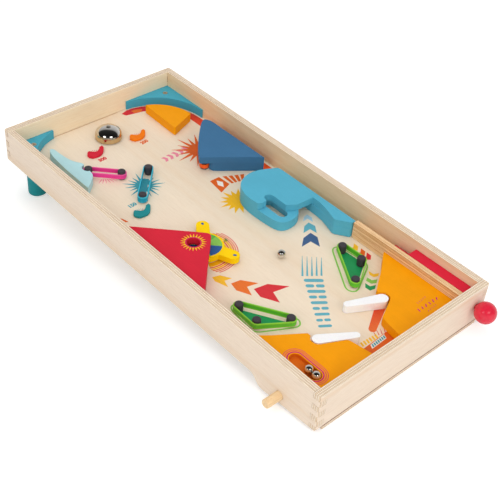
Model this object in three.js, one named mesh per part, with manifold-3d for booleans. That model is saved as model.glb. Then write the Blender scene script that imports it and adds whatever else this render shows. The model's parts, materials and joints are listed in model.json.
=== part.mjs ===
// Wooden pinball game: a shallow plywood case, tilted on two rear feet, with a playfield of coloured
// wooden blocks, two button-driven flippers, a sprung launcher, a spinner, a bell and steel balls.
//
// All lengths are millimetres. The tray is modelled flat: x runs to the player's right, y away from
// the player from the front face, and z up from the playing surface. The whole tray is then tilted.

import * as THREE from 'three';
import { mergeVertices } from 'three/addons/utils/BufferGeometryUtils.js';
import Module from 'manifold-3d';

const wasm = await Module();
wasm.setup();

const GAP = 0.3; // between two pieces that touch
const OVERRUN = 3; // how far a cut runs past the face that it opens
const EDGE = 0.8; // small bevel on turned pieces

const CASE = {
  width: 280,
  depth: 600,
  wall: 10,
  lip: 35.5, // rim above the playing surface
  skirt: 7.5, // wall below the board
  cornerRound: 3.5,
  noseRound: 3, // front bottom edge
  stepLead: 2, // from the bottom panel's back edge forward to the side walls' S-curve
  stepRun: 22, // length of the S-curve
  tilt: THREE.MathUtils.degToRad(4.43),
  fingers: 6, // finger joints over the height of the back wall
};
const BOARD = { thick: 4, tongue: 4 };
const LANE = { width: 20, divider: 8, dividerLengthShare: 0.302 };
const PANEL = { thick: 5.4, below: 4, groove: 1, buttonRoom: 4.7, leverRoom: 2, batten: 10 };
const FOOT = { radius: 13, edge: 3, leftInset: 29, rightInset: 26, fromBack: 25 };
const SCREW = { head: 3.6, headDrop: 3, shank: 1.8, length: 34, tip: 3 };

const LAYER = { base: 14, roof: 10 }; // the two layers of the tall blocks
const CORNER = { rim: 2, height: 13 };
const LEFT_CORNER = { radius: 69, backArm: 58, sideArm: 60 };
const RIGHT_CORNER = { radius: 79.5, backArm: 77, sideArm: 83 };
const WEDGE = { radius: 61, height: 13, fromDeg: 1.5, toDeg: 69, corner: 0.12 };
const WEDGE_TIP_SHARES = [0.32, -0.235];
const APRON = { height: 12, pocket: 9, paddleRoom: 1.2 };
const BALL = { radius: 5.5 };
const TRAY = { radius: 7.5, length: 30, recess: 6 };
const GUIDE = { height: 12.5, notchRoom: 2 };
const POST = { radius: 5.3, height: 12 };
const BAND = { thick: 1.2, bottom: 3, height: 6 };
const POCKET = { width: 29.8, depth: 16.2, height: 3.3 };
const WINDOW = { radius: 8.3 };
const SPINNER = { disc: 24, reach: 46.5, lobe: 8.3, bottom: 3, thick: 8, hub: 6, turnDeg: 54, lobes: 3 };
const SPINNER_PIN = { radius: 2.5, sunk: 3, top: 20 };
const SPINNER_ROOM = 3; // between the spinner's tips and the score block's wall

const BELL = { radius: 19, rimUp: 1.5, shoulder: 13.5, rise: 5, shell: 1, round: 2.5 };
const BELL_POST = { radius: 3, foot: 6, footHeight: 2, spigot: 2.2, head: 3.4, headHeight: 1.6 };

const FLIPPER = { hub: 7, tip: 4.5, length: 44.5, height: 11.2, loweredDeg: -30, raisedDeg: 25 };
const LEVER = { shaft: 4, hub: 5.5, tip: 4, arm: 20.5, armHalf: 1.8, thick: 6, shaftTop: 8 };
const BUTTON = { radius: 5.6, reach: 21, edge: 1.5, pin: 1.5, pinReach: 9 };

const PLUNGER = {
  knob: 13.6,
  knobSeat: 11, // how deep the rod goes into the knob
  shank: 3.5,
  striker: 6,
  axis: 9.5, // above the playing surface
  blockLength: 92,
  shoulder: 72, // where the shank widens, from the front face
  length: 130,
};
const SPRING = { wire: 0.5, radius: 4.75, turns: 12, stepsPerTurn: 8, sides: 5 };

const CURVE_STEPS = 4; // facets of one rounded outline corner
const ROUND_STEPS = 20; // facets round a turned piece
const BALL_STEPS = 16;
const FINE_STEPS = 30; // facets round the large turned pieces

// Places on the playfield are shares of its width, from the left wall to the middle of the lane
// divider, and of its depth, from the front wall to the back wall. A third number is how far an
// outline's corner is rounded, as a share of half of each side that meets there.
const AXIS_SHARE = 0.498;
const FLIPPER_UP_SHARE = 0.1146;
const FLIPPER_OUT_SHARE = 0.223;
const TUNNEL_ROOF_SHARES = [
  [0.687, 0.475, 0.3],
  [0.682, 0.52, 1],
  [0.735, 0.56, 1],
  [0.86, 0.575, 1],
  [1, 0.546, 0.1],
  [1, 0.303, 0],
  [0.973, 0.303, 0.2],
  [0.919, 0.335, 0.35],
  [0.942, 0.363, 1],
  [0.962, 0.395, 1],
  [0.963, 0.418, 0.1],
  [0.847, 0.421, 0.3],
  [0.8, 0.434, 0.1],
  [0.8, 0.473, 0],
  [0.746, 0.473, 0.1],
  [0.712, 0.471, 0.4],
];
const TUNNEL_LOOP_SHARES = [
  [0.88, 0.566, 0.1],
  [0.79, 0.565, 0.8],
  [0.735, 0.558, 1],
  [0.684, 0.52, 1],
  [0.69, 0.44, 1],
  [0.71, 0.406, 1],
  [0.8, 0.402, 1],
  [0.88, 0.42, 0.8],
];
const TUNNEL_TAIL_SHARES = [
  [0.962, 0.551, 0.2],
  [1, 0.546, 0.2],
  [1, 0.303, 0],
  [0.973, 0.303, 0.2],
  [0.919, 0.335, 0.35],
  [0.942, 0.363, 1],
  [0.962, 0.395, 1],
];
const TUNNEL_SLOT_SHARES = [
  [0.772, 0.432],
  [0.772, 0.476],
];
const TUNNEL_SLOT_RADIUS = 6.6;
const DEFLECTOR_ROOF_SHARES = [
  [1, 0.594, 0.1],
  [1, 0.786, 0.3],
  [0.98, 0.802, 0.8],
  [0.944, 0.795, 0.6],
  [0.859, 0.762, 1],
  [0.76, 0.717, 0.8],
  [0.705, 0.684, 0.8],
  [0.728, 0.679, 0.8],
  [0.98, 0.604, 0.2],
];
const DEFLECTOR_BASE_SHARES = [
  [1, 0.594, 0.1],
  [1, 0.769, 0.3],
  [0.975, 0.779, 0.3],
  [0.79, 0.71, 0.1],
  [0.77, 0.679, 0.3],
  [0.778, 0.667, 0.5],
  [0.983, 0.606, 0.2],
];
const APRON_SHARES = [
  [0.5, 0.213, 0],
  [0.46, 0.203, 1],
  [0.4, 0.182, 1],
  [0.32, 0.16, 0.6],
  [0.236, 0.137, 0.25],
  [0.238, 0.125, 0],
  [0.117, 0.076, 0.4],
  [0.104, 0.048, 0.6],
  [0.087, 0, 0],
  [0.5, 0, 0],
];
const TRAY_SHARES = [0.104, 0.0517];
const SCORE_BLOCK_SHARES = [
  [0, 0.596, 0],
  [0, 0.3195, 0],
  [0.334, 0.459, 0.13],
];
const WINDOW_SHARES = [0.2146, 0.4593];
const SPINNER_SHARES = [0.291, 0.459];
const BELL_SHARES = [0.501, 0.922];
const GUIDE_SHARES = [
  [0.089, 0.762, 0.1],
  [0.089, 0.848, 1],
  [0.1, 0.912, 1],
  [0.122, 0.938, 0.9],
  [0.145, 0.932, 0.9],
  [0.146, 0.906, 1],
  [0.158, 0.868, 1],
  [0.196, 0.846, 0.4],
  [0.181, 0.795, 0.5],
  [0.11, 0.768, 0.6],
];
const POCKET_SHARES = [
  [0.152, 0.9, 0.9],
  [0, 0.55, 1],
  [0.06, 0.12, 1],
  [0.29, -0.05, 1],
  [0.66, 0.03, 1],
  [0.94, 0.5, 1],
  [1.02, 0.86, 0.9],
  [0.95, 1.06, 0.9],
  [0.8, 0.93, 0.9],
  [0.67, 0.66, 1],
  [0.5, 0.6, 1],
  [0.33, 0.87, 0.9],
];
const POCKET_PLACE_SHARES = {
  red_score_pocket: [0.288, 0.8694],
  orange_score_pocket: [0.582, 0.8677],
  teal_score_pocket: [0.1724, 0.6264],
};
const POST_SHARES = {
  left_triangle_back_post: [0.141, 0.28],
  left_triangle_side_post: [0.137, 0.226],
  left_triangle_front_post: [0.276, 0.189],
  right_triangle_back_post: [0.855, 0.28],
  right_triangle_side_post: [0.859, 0.226],
  right_triangle_front_post: [0.72, 0.189],
  pink_band_left_post: [0.198, 0.826],
  pink_band_right_post: [0.328, 0.772],
  cyan_band_back_post: [0.472, 0.75],
  cyan_band_front_post: [0.294, 0.675],
  deflector_front_post: [0.758, 0.691],
  deflector_back_post: [0.897, 0.757],
};
const FREE_BALL_SHARES = [0.5725, 0.346];

const SURFACE = 0;
const HALF_WIDTH = CASE.width / 2;
const INNER_HALF = HALF_WIDTH - CASE.wall;
const WALL_BOTTOM = -BOARD.thick - CASE.skirt;
const BUTTON_AXIS = -BOARD.thick - GAP - BUTTON.radius;
const FINGER_PITCH = (CASE.lip - WALL_BOTTOM) / CASE.fingers;
const BLOCK_TOP = LAYER.base + LAYER.roof;
const FIELD = {
  left: -INNER_HALF,
  right: INNER_HALF - LANE.width,
  front: CASE.wall,
  back: CASE.depth - CASE.wall,
};
const DIVIDER = { left: FIELD.right - LANE.divider / 2, right: FIELD.right + LANE.divider / 2 };
const LANE_MIDDLE = (DIVIDER.right + INNER_HALF) / 2;
const BUTTON_PLACE = flipperPivot(1)[1] - LEVER.arm; // where the levers' tips turn back
const PANEL_BACK = flipperPivot(1)[1] + LEVER.hub + PANEL.leverRoom;

const FINISH = {
  ply: { color: 0xe8d6be, roughness: 0.6 },
  playfield: { color: 0xead8bd, roughness: 0.5 },
  beech: { color: 0xe9c698, roughness: 0.6 },
  pine: { color: 0xdca564, roughness: 0.6 },
  orange: { color: 0xf39c00, roughness: 0.45 },
  turquoise: { color: 0x5aafc8, roughness: 0.45 },
  blue: { color: 0x41739b, roughness: 0.45 },
  red: { color: 0xd7283c, roughness: 0.45 },
  teal: { color: 0x238c91, roughness: 0.45 },
  paleBlue: { color: 0xafd7e1, roughness: 0.45 },
  yellow: { color: 0xfacd00, roughness: 0.45 },
  white: { color: 0xf5f3ee, roughness: 0.4 },
  dark: { color: 0x413c41, roughness: 0.7 },
  greenRubber: { color: 0x50b432, roughness: 0.7 },
  pinkRubber: { color: 0xeb4b96, roughness: 0.7 },
  cyanRubber: { color: 0x14a0be, roughness: 0.7 },
  orangeRubber: { color: 0xe6501e, roughness: 0.7 },
  steel: { color: 0xc8c8c8, roughness: 0.15, metalness: 1 },
};

const tray = new THREE.Group();
tray.rotation.x = CASE.tilt;

// Basic solids

function toSolid(geometry) {
  geometry.deleteAttribute('normal');
  geometry.deleteAttribute('uv');
  const merged = mergeVertices(geometry);
  const corners = merged.index.array;
  const triangles = [];
  for (let i = 0; i < corners.length; i += 3) {
    const [a, b, c] = [corners[i], corners[i + 1], corners[i + 2]];
    if (a !== b && b !== c && c !== a) triangles.push(a, b, c);
  }
  const vertProperties = merged.attributes.position.array;
  return new wasm.Manifold(
    new wasm.Mesh({ numProp: 3, vertProperties, triVerts: Uint32Array.from(triangles) }),
  );
}

function toGeometry(solid) {
  const mesh = solid.getMesh();
  const geometry = new THREE.BufferGeometry();
  geometry.setAttribute('position', new THREE.BufferAttribute(mesh.vertProperties, 3));
  geometry.setIndex(new THREE.BufferAttribute(mesh.triVerts, 1));
  geometry.computeVertexNormals();
  return geometry;
}

function addPart(name, solid, finish, position = new THREE.Vector3(), turn = 0) {
  const mesh = new THREE.Mesh(toGeometry(solid), new THREE.MeshStandardMaterial(finish));
  mesh.name = name;
  mesh.position.copy(position);
  mesh.rotation.z = turn;
  tray.add(mesh);
}

function box([x0, x1], [y0, y1], [z0, z1]) {
  const geometry = new THREE.BoxGeometry(x1 - x0, y1 - y0, z1 - z0);
  geometry.translate((x0 + x1) / 2, (y0 + y1) / 2, (z0 + z1) / 2);
  return toSolid(geometry);
}

function prism(shape, [bottom, top]) {
  const settings = { depth: top - bottom, bevelEnabled: false, curveSegments: CURVE_STEPS };
  const geometry = new THREE.ExtrudeGeometry(shape, settings);
  geometry.translate(0, 0, bottom);
  return toSolid(geometry);
}

function disc([x, y], radius, [bottom, top], steps = ROUND_STEPS) {
  const geometry = new THREE.CylinderGeometry(radius, radius, top - bottom, steps);
  geometry.rotateX(Math.PI / 2);
  geometry.translate(x, y, (top + bottom) / 2);
  return toSolid(geometry);
}

// A turned piece round z, from its [radius, height] profile, listed upward
function turned(profile, steps = ROUND_STEPS) {
  const points = profile.map(([radius, height]) => new THREE.Vector2(radius, height));
  const geometry = new THREE.LatheGeometry(points, steps);
  geometry.rotateX(Math.PI / 2);
  return toSolid(geometry);
}

function quarterRound(centre, radius, from, to, steps = CURVE_STEPS) {
  return Array.from({ length: steps + 1 }, (_, i) => {
    const angle = from + ((to - from) * i) / steps;
    return [centre[0] + radius * Math.cos(angle), centre[1] + radius * Math.sin(angle)];
  });
}

// Lays a piece that was turned round z along x or y, with its former top at the positive end
function layAlongX(solid) {
  return solid.rotate([0, 90, 0]);
}

function layAlongY(solid) {
  return solid.rotate([-90, 0, 0]);
}

// Outlines

function place([across, up]) {
  return [
    FIELD.left + across * (FIELD.right - FIELD.left),
    FIELD.front + up * (FIELD.back - FIELD.front),
  ];
}

function outline(corners) {
  const shape = new THREE.Shape();
  corners.forEach(([x, y, round = 0], i) => {
    const [lastX, lastY] = corners[(i + corners.length - 1) % corners.length];
    const [nextX, nextY] = corners[(i + 1) % corners.length];
    const enter = [x + ((lastX - x) * round) / 2, y + ((lastY - y) * round) / 2];
    const leave = [x + ((nextX - x) * round) / 2, y + ((nextY - y) * round) / 2];
    if (i === 0) shape.moveTo(...enter);
    else shape.lineTo(...enter);
    if (round > 0) shape.quadraticCurveTo(x, y, ...leave);
  });
  shape.closePath();
  return shape;
}

function fieldOutline(shares) {
  return outline(shares.map((share) => [...place(share), share[2]]));
}

// A belt round circles that stand counter-clockwise: its outline keeps off each centre by a radius
function beltOutline(centres, radii) {
  const points = [];
  centres.forEach(([x, y], i) => {
    const before = (i + centres.length - 1) % centres.length;
    const after = (i + 1) % centres.length;
    const from = tangentAngle(centres[before], centres[i], radii[before], radii[i]);
    let to = tangentAngle(centres[i], centres[after], radii[i], radii[after]);
    while (to < from) to += 2 * Math.PI;
    points.push(...quarterRound([x, y], radii[i], from, to, 2 * CURVE_STEPS));
  });
  return new THREE.Shape(points.map(([x, y]) => new THREE.Vector2(x, y)));
}

function tangentAngle([x0, y0], [x1, y1], radius0, radius1) {
  const along = Math.atan2(y1 - y0, x1 - x0);
  const lean = Math.asin((radius1 - radius0) / Math.hypot(x1 - x0, y1 - y0));
  return along - Math.PI / 2 - lean;
}

function belt(centres, radius, heights) {
  return prism(beltOutline(centres, centres.map(() => radius)), heights);
}

// The case

function caseEnvelope() {
  const plan = new THREE.Shape();
  const round = CASE.cornerRound;
  plan.moveTo(HALF_WIDTH - round, 0);
  plan.absarc(HALF_WIDTH - round, round, round, -Math.PI / 2, 0);
  plan.absarc(HALF_WIDTH - round, CASE.depth - round, round, 0, Math.PI / 2);
  plan.absarc(round - HALF_WIDTH, CASE.depth - round, round, Math.PI / 2, Math.PI);
  plan.absarc(round - HALF_WIDTH, round, round, Math.PI, 1.5 * Math.PI);
  plan.closePath();
  return prism(plan, [ALL_HEIGHTS[0], CASE.lip]).intersect(caseProfile());
}

// The bottom panel lies flat on the table once the tray is tilted, and the walls end somewhat above it

function panelTop(y) {
  const room = BUTTON.radius + GAP + PANEL.buttonRoom;
  return BUTTON_AXIS - room + (BUTTON_PLACE - y) * Math.tan(CASE.tilt);
}

function tableHeight(y) {
  return panelTop(y) - PANEL.thick / Math.cos(CASE.tilt);
}

function wallEdge(y) {
  return tableHeight(y) + PANEL.below / Math.cos(CASE.tilt);
}

// The side view: a deep front with a round nose, and an S-curve up to the skirt
function caseProfile() {
  const shape = new THREE.Shape();
  const round = CASE.noseRound;
  const nose = [round, wallEdge(round) + round / Math.cos(CASE.tilt)];
  const noseEnd = -Math.PI / 2 - CASE.tilt;
  const stepFront = PANEL_BACK - CASE.stepLead;
  const stepBack = stepFront + CASE.stepRun;
  const middle = (stepFront + stepBack) / 2;
  shape.moveTo(0, CASE.lip);
  quarterRound(nose, round, -Math.PI, noseEnd).forEach((point) => shape.lineTo(...point));
  shape.lineTo(stepFront, wallEdge(stepFront));
  shape.bezierCurveTo(middle, wallEdge(middle), middle, WALL_BOTTOM, stepBack, WALL_BOTTOM);
  shape.lineTo(CASE.depth, WALL_BOTTOM);
  shape.lineTo(CASE.depth, CASE.lip);
  shape.closePath();
  return sidePrism(shape, [-HALF_WIDTH - OVERRUN, HALF_WIDTH + OVERRUN]);
}

// A solid with the same side view all along x
function sidePrism(shape, [left, right]) {
  const settings = { depth: right - left, bevelEnabled: false, curveSegments: 2 * CURVE_STEPS };
  const geometry = new THREE.ExtrudeGeometry(shape, settings);
  geometry.applyMatrix4(
    new THREE.Matrix4().makeBasis(
      new THREE.Vector3(0, 1, 0),
      new THREE.Vector3(0, 0, 1),
      new THREE.Vector3(1, 0, 0),
    ),
  );
  geometry.translate(left, 0, 0);
  return toSolid(geometry);
}

const ALL_HEIGHTS = [tableHeight(CASE.depth), CASE.lip + OVERRUN];
const END_FINGERS = 0; // the front and back walls hold the top finger
const SIDE_FINGERS = 1;

// Heights of every second finger, widened by half a gap at the top and the bottom
function fingerHeights(first) {
  const heights = [];
  for (let i = first; CASE.lip - i * FINGER_PITCH > tableHeight(CASE.wall); i += 2) {
    const top = CASE.lip - i * FINGER_PITCH;
    heights.push([top - FINGER_PITCH - GAP / 2, top + GAP / 2]);
  }
  return heights;
}

function boardGroove() {
  const reach = INNER_HALF + BOARD.tongue + GAP;
  const front = CASE.wall - BOARD.tongue - GAP;
  return box([-reach, reach], [front, CASE.depth - front], [-BOARD.thick - GAP, GAP]);
}

function sideRange(side, near, far) {
  return side < 0 ? [-far, -near] : [near, far];
}

function sideWall(side) {
  const width = sideRange(side, INNER_HALF, HALF_WIDTH);
  const cutWidth = sideRange(side, INNER_HALF - OVERRUN, HALF_WIDTH + OVERRUN);
  let wall = caseEnvelope().intersect(box(width, [0, CASE.depth], ALL_HEIGHTS));
  for (const heights of fingerHeights(END_FINGERS)) {
    wall = wall.subtract(box(cutWidth, [-OVERRUN, CASE.wall + GAP], heights));
    wall = wall.subtract(box(cutWidth, [FIELD.back - GAP, CASE.depth + OVERRUN], heights));
  }
  const bore = layAlongX(turned(buttonBoreProfile())).translate([
    cutWidth[0],
    BUTTON_PLACE,
    BUTTON_AXIS,
  ]);
  return wall.subtract(boardGroove()).subtract(bore);
}

function buttonBoreProfile() {
  const radius = BUTTON.radius + GAP;
  return rodProfile(radius, CASE.wall + 2 * OVERRUN);
}

function rodProfile(radius, length) {
  return [
    [0, 0],
    [radius, 0],
    [radius, length],
    [0, length],
  ];
}

function endWall(depth) {
  let wall = caseEnvelope().intersect(box([-HALF_WIDTH, HALF_WIDTH], depth, ALL_HEIGHTS));
  const cutDepth = [depth[0] - OVERRUN, depth[1] + OVERRUN];
  for (const heights of fingerHeights(SIDE_FINGERS)) {
    for (const side of [-1, 1]) {
      const width = sideRange(side, INNER_HALF - GAP, HALF_WIDTH + OVERRUN);
      wall = wall.subtract(box(width, cutDepth, heights));
    }
  }
  return wall.subtract(boardGroove());
}

// All that lies under a slope over a stretch of the depth, down to a level below the whole game
function underSlope(width, [front, back], slope) {
  const shape = outline([
    [front, ALL_HEIGHTS[0]],
    [back, ALL_HEIGHTS[0]],
    [back, slope(back)],
    [front, slope(front)],
  ]);
  return sidePrism(shape, width);
}

function addCase() {
  addPart('left_wall', sideWall(-1), FINISH.ply);
  addPart('right_wall', sideWall(1), FINISH.ply);
  addPart('back_wall', endWall([FIELD.back, CASE.depth]), FINISH.ply);

  const inner = [GAP - INNER_HALF, INNER_HALF - GAP];
  const panelRoom = [inner[0] - GAP, inner[1] + GAP];
  const grooveTop = (y) => panelTop(y) + PANEL.groove;
  const underFront = underSlope(panelRoom, [-OVERRUN, CASE.wall + OVERRUN], grooveTop);
  const rodBore = layAlongY(turned(rodProfile(PLUNGER.shank + GAP, CASE.wall + 2 * OVERRUN)));
  const front = endWall([0, CASE.wall])
    .subtract(underFront)
    .subtract(rodBore.translate([LANE_MIDDLE, -OVERRUN, PLUNGER.axis]));
  addPart('front_wall', front, FINISH.ply);

  const panel = underSlope(inner, [0, PANEL_BACK], panelTop).subtract(
    underSlope([-HALF_WIDTH, HALF_WIDTH], [-OVERRUN, PANEL_BACK + OVERRUN], tableHeight),
  );
  addPart('bottom_panel', panel, FINISH.ply);

  const batten = box(
    inner,
    [PANEL_BACK + GAP, PANEL_BACK + PANEL.batten],
    [ALL_HEIGHTS[0], -BOARD.thick - GAP],
  );
  addPart('panel_batten', batten.intersect(caseEnvelope()), FINISH.beech);
}

function addBoard() {
  const reach = INNER_HALF + BOARD.tongue;
  const front = CASE.wall - BOARD.tongue;
  const cut = [-BOARD.thick - OVERRUN, OVERRUN];
  let board = box([-reach, reach], [front, CASE.depth - front], [-BOARD.thick, SURFACE]);
  for (const side of [-1, 1]) {
    board = board.subtract(disc(flipperPivot(side), LEVER.shaft + GAP, cut));
    board = board.subtract(disc(footPlace(side), SCREW.shank + GAP, cut));
  }
  board = board.subtract(disc(place(SPINNER_SHARES), SPINNER_PIN.radius + GAP, cut));
  board = board.subtract(disc(place(BELL_SHARES), BELL_POST.spigot + GAP, cut));
  addPart('playfield_board', board, FINISH.playfield);
}

// Rear feet, and the corner blocks whose screws reach down into them

function footPlace(side) {
  const inset = side < 0 ? FOOT.leftInset : FOOT.rightInset;
  return [side * (HALF_WIDTH - inset), CASE.depth - FOOT.fromBack];
}

function addFoot(name, side) {
  const [x, y] = footPlace(side);
  const top = -BOARD.thick - GAP;
  const bottom = tableHeight(y + FOOT.radius);
  const edge = quarterRound(
    [FOOT.radius - FOOT.edge, bottom + FOOT.edge],
    FOOT.edge,
    -Math.PI / 2,
    0,
  );
  const foot = turned([[0, bottom], ...edge, [FOOT.radius, top], [0, top]], FINE_STEPS);
  const reach = 2 * FOOT.radius;
  const table = box([-reach, reach], [-reach, reach], [-reach, 0])
    .rotate([-THREE.MathUtils.radToDeg(CASE.tilt), 0, 0])
    .translate([0, 0, tableHeight(y)]);
  const screwHole = disc([0, 0], SCREW.shank + GAP, [
    cornerTop() - SCREW.length - GAP,
    top + OVERRUN,
  ]);
  const position = new THREE.Vector3(x, y, 0);
  addPart(name, foot.subtract(table).subtract(screwHole), FINISH.teal, position);
}

function cornerTop() {
  return GAP + CORNER.height;
}

function screwProfile(extra) {
  const bottom = -SCREW.length - extra;
  return [
    [0, bottom],
    [SCREW.shank / 2 + extra, bottom],
    [SCREW.shank + extra, bottom + SCREW.tip],
    [SCREW.shank + extra, -SCREW.headDrop],
    [SCREW.head + extra, 0],
  ];
}

function screwHole(side) {
  const profile = screwProfile(GAP);
  profile.push([SCREW.head + GAP, OVERRUN], [0, OVERRUN]);
  return turned(profile).translate([...footPlace(side), cornerTop()]);
}

function cornerCentre(side, radius) {
  const inset = radius + CORNER.rim;
  return [side * (INNER_HALF - inset), FIELD.back - inset];
}

function addCornerBlock(side, name, { radius, backArm, sideArm }) {
  const square = box(
    sideRange(side, INNER_HALF - backArm, INNER_HALF - GAP),
    [FIELD.back - sideArm, FIELD.back - GAP],
    [GAP, cornerTop()],
  );
  const cut = [-OVERRUN, cornerTop() + OVERRUN];
  const hollow = disc(cornerCentre(side, radius), radius, cut, 4 * ROUND_STEPS);
  const block = square.subtract(hollow).subtract(screwHole(side));
  addPart(`${name}_corner_block`, block, FINISH.turquoise);
  const screw = turned([...screwProfile(0), [0, 0]]);
  const head = new THREE.Vector3(...footPlace(side), cornerTop());
  addPart(`${name}_corner_screw`, screw, FINISH.steel, head);
}

// Blocks on the playfield

function addWedge() {
  const [x, y] = cornerCentre(1, RIGHT_CORNER.radius);
  const from = THREE.MathUtils.degToRad(WEDGE.fromDeg);
  const to = THREE.MathUtils.degToRad(WEDGE.toDeg);
  const arc = quarterRound([x, y], WEDGE.radius, from, to, 2 * CURVE_STEPS);
  const corners = arc.map(([px, py], i) => {
    const end = i === 0 || i === arc.length - 1;
    return [px, py, end ? WEDGE.corner : 1];
  });
  const tip = [
    x + WEDGE_TIP_SHARES[0] * WEDGE.radius,
    y + WEDGE_TIP_SHARES[1] * WEDGE.radius,
    WEDGE.corner,
  ];
  const block = prism(outline([...corners, tip]), [GAP, GAP + WEDGE.height]);
  addPart('orange_wedge', block, FINISH.orange);
}

function addDeflector() {
  const posts = ['deflector_front_post', 'deflector_back_post'].map(postPlace);
  const room = POST.radius + BAND.thick + 3 * GAP;
  const base = prism(fieldOutline(DEFLECTOR_BASE_SHARES), [GAP, LAYER.base]).subtract(
    belt(posts, room, [-OVERRUN, LAYER.base + OVERRUN]),
  );
  const roof = prism(fieldOutline(DEFLECTOR_ROOF_SHARES), [LAYER.base, BLOCK_TOP]);
  addPart('blue_deflector', base.add(roof), FINISH.blue);
}

function addTunnel() {
  const slot = belt(TUNNEL_SLOT_SHARES.map(place), TUNNEL_SLOT_RADIUS, [
    -OVERRUN,
    BLOCK_TOP + OVERRUN,
  ]);
  const base = [GAP, LAYER.base];
  const loop = prism(fieldOutline(TUNNEL_LOOP_SHARES), base).subtract(slot);
  const tail = prism(fieldOutline(TUNNEL_TAIL_SHARES), base);
  const roof = prism(fieldOutline(TUNNEL_ROOF_SHARES), [LAYER.base + GAP, BLOCK_TOP]);
  addPart('tunnel_loop', loop, FINISH.turquoise);
  addPart('tunnel_tail', tail, FINISH.turquoise);
  addPart('tunnel_roof', roof.subtract(slot), FINISH.turquoise);
}

function addLaneDivider() {
  const back = place([0, LANE.dividerLengthShare])[1];
  const divider = box(
    [DIVIDER.left, DIVIDER.right],
    [FIELD.front + GAP, back],
    [GAP, BLOCK_TOP],
  );
  addPart('lane_divider', divider, FINISH.pine);
}

// The two aprons mirror each other about the middle between the flippers. Each leaves room for the
// flipper that lies lowered along it.
function apron(side) {
  const middle = place([AXIS_SHARE, 0])[0];
  const width = FIELD.right - FIELD.left;
  const corners = APRON_SHARES.map(([out, up, round]) => [
    middle + side * out * width,
    place([0, up])[1],
    round,
  ]);
  const heights = [GAP, GAP + APRON.height];
  const cut = [-OVERRUN, GAP + APRON.height + OVERRUN];
  const pivot = flipperPivot(side);
  const tip = paddleTip(side, THREE.MathUtils.degToRad(FLIPPER.loweredDeg));
  const ends = [pivot, tip];
  const radii = [APRON.pocket, FLIPPER.tip + APRON.paddleRoom];
  const left = side < 0 ? FIELD.left + GAP : middle;
  const right = side < 0 ? middle : DIVIDER.left - GAP;
  return prism(outline(side < 0 ? corners : corners.reverse()), heights)
    .subtract(prism(beltOutline(ends, radii), cut))
    .intersect(box([left, right], [FIELD.front + GAP, FIELD.back], cut));
}

function trayCentres() {
  const [x, y] = place(TRAY_SHARES);
  return [
    [x, y],
    [x, y + TRAY.length],
  ];
}

function trayFloor() {
  return GAP + APRON.height - TRAY.recess;
}

function addAprons() {
  const recess = belt(trayCentres(), TRAY.radius, [trayFloor(), APRON.height + OVERRUN]);
  addPart('left_apron', apron(-1).subtract(recess), FINISH.orange);
  addPart('right_apron', apron(1), FINISH.orange);
}

// A triangular roof over the spinner, on a wall that keeps clear of the spinner's tips
function addScoreBlock() {
  const shape = fieldOutline(SCORE_BLOCK_SHARES);
  const centre = place(SPINNER_SHARES);
  const room = disc(centre, SPINNER.reach + SPINNER_ROOM, [-OVERRUN, LAYER.base], FINE_STEPS);
  const cut = [-OVERRUN, BLOCK_TOP + OVERRUN];
  const block = prism(shape, [GAP, BLOCK_TOP])
    .subtract(room)
    .subtract(box([FIELD.left - OVERRUN, FIELD.left + GAP], [0, CASE.depth], cut))
    .subtract(disc(place(WINDOW_SHARES), WINDOW.radius, cut, FINE_STEPS))
    .subtract(disc(centre, SPINNER_PIN.radius + GAP, [0, SPINNER_PIN.top + GAP]));
  addPart('score_block', block, FINISH.red);
}

function addSpinner() {
  const heights = [SPINNER.bottom, SPINNER.bottom + SPINNER.thick];
  let body = disc([0, 0], SPINNER.disc, heights, FINE_STEPS);
  body = body.add(disc([0, 0], SPINNER.hub, [GAP, SPINNER.bottom + SPINNER.thick]));
  for (let i = 0; i < SPINNER.lobes; i += 1) {
    const angle = (2 * Math.PI * i) / SPINNER.lobes;
    const reach = SPINNER.reach - SPINNER.lobe;
    const end = [reach * Math.cos(angle), reach * Math.sin(angle)];
    body = body.add(belt([[0, 0], end], SPINNER.lobe, heights));
  }
  const bore = disc([0, 0], SPINNER_PIN.radius + GAP, [-OVERRUN, BLOCK_TOP]);
  const centre = new THREE.Vector3(...place(SPINNER_SHARES), 0);
  const turn = THREE.MathUtils.degToRad(SPINNER.turnDeg);
  addPart('spinner', body.subtract(bore), FINISH.yellow, centre, turn);
  const pin = disc([0, 0], SPINNER_PIN.radius, [-SPINNER_PIN.sunk, SPINNER_PIN.top]);
  addPart('spinner_pin', pin, FINISH.steel, centre);
}

function addPockets() {
  const corners = POCKET_SHARES.map(([x, y, round]) => [x * POCKET.width, y * POCKET.depth, round]);
  const finishes = {
    red_score_pocket: FINISH.red,
    orange_score_pocket: FINISH.orange,
    teal_score_pocket: FINISH.teal,
  };
  for (const [name, share] of Object.entries(POCKET_PLACE_SHARES)) {
    const pocket = prism(outline(corners), [GAP, GAP + POCKET.height]);
    addPart(name, pocket, finishes[name], new THREE.Vector3(...place(share), 0));
  }
}

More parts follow.
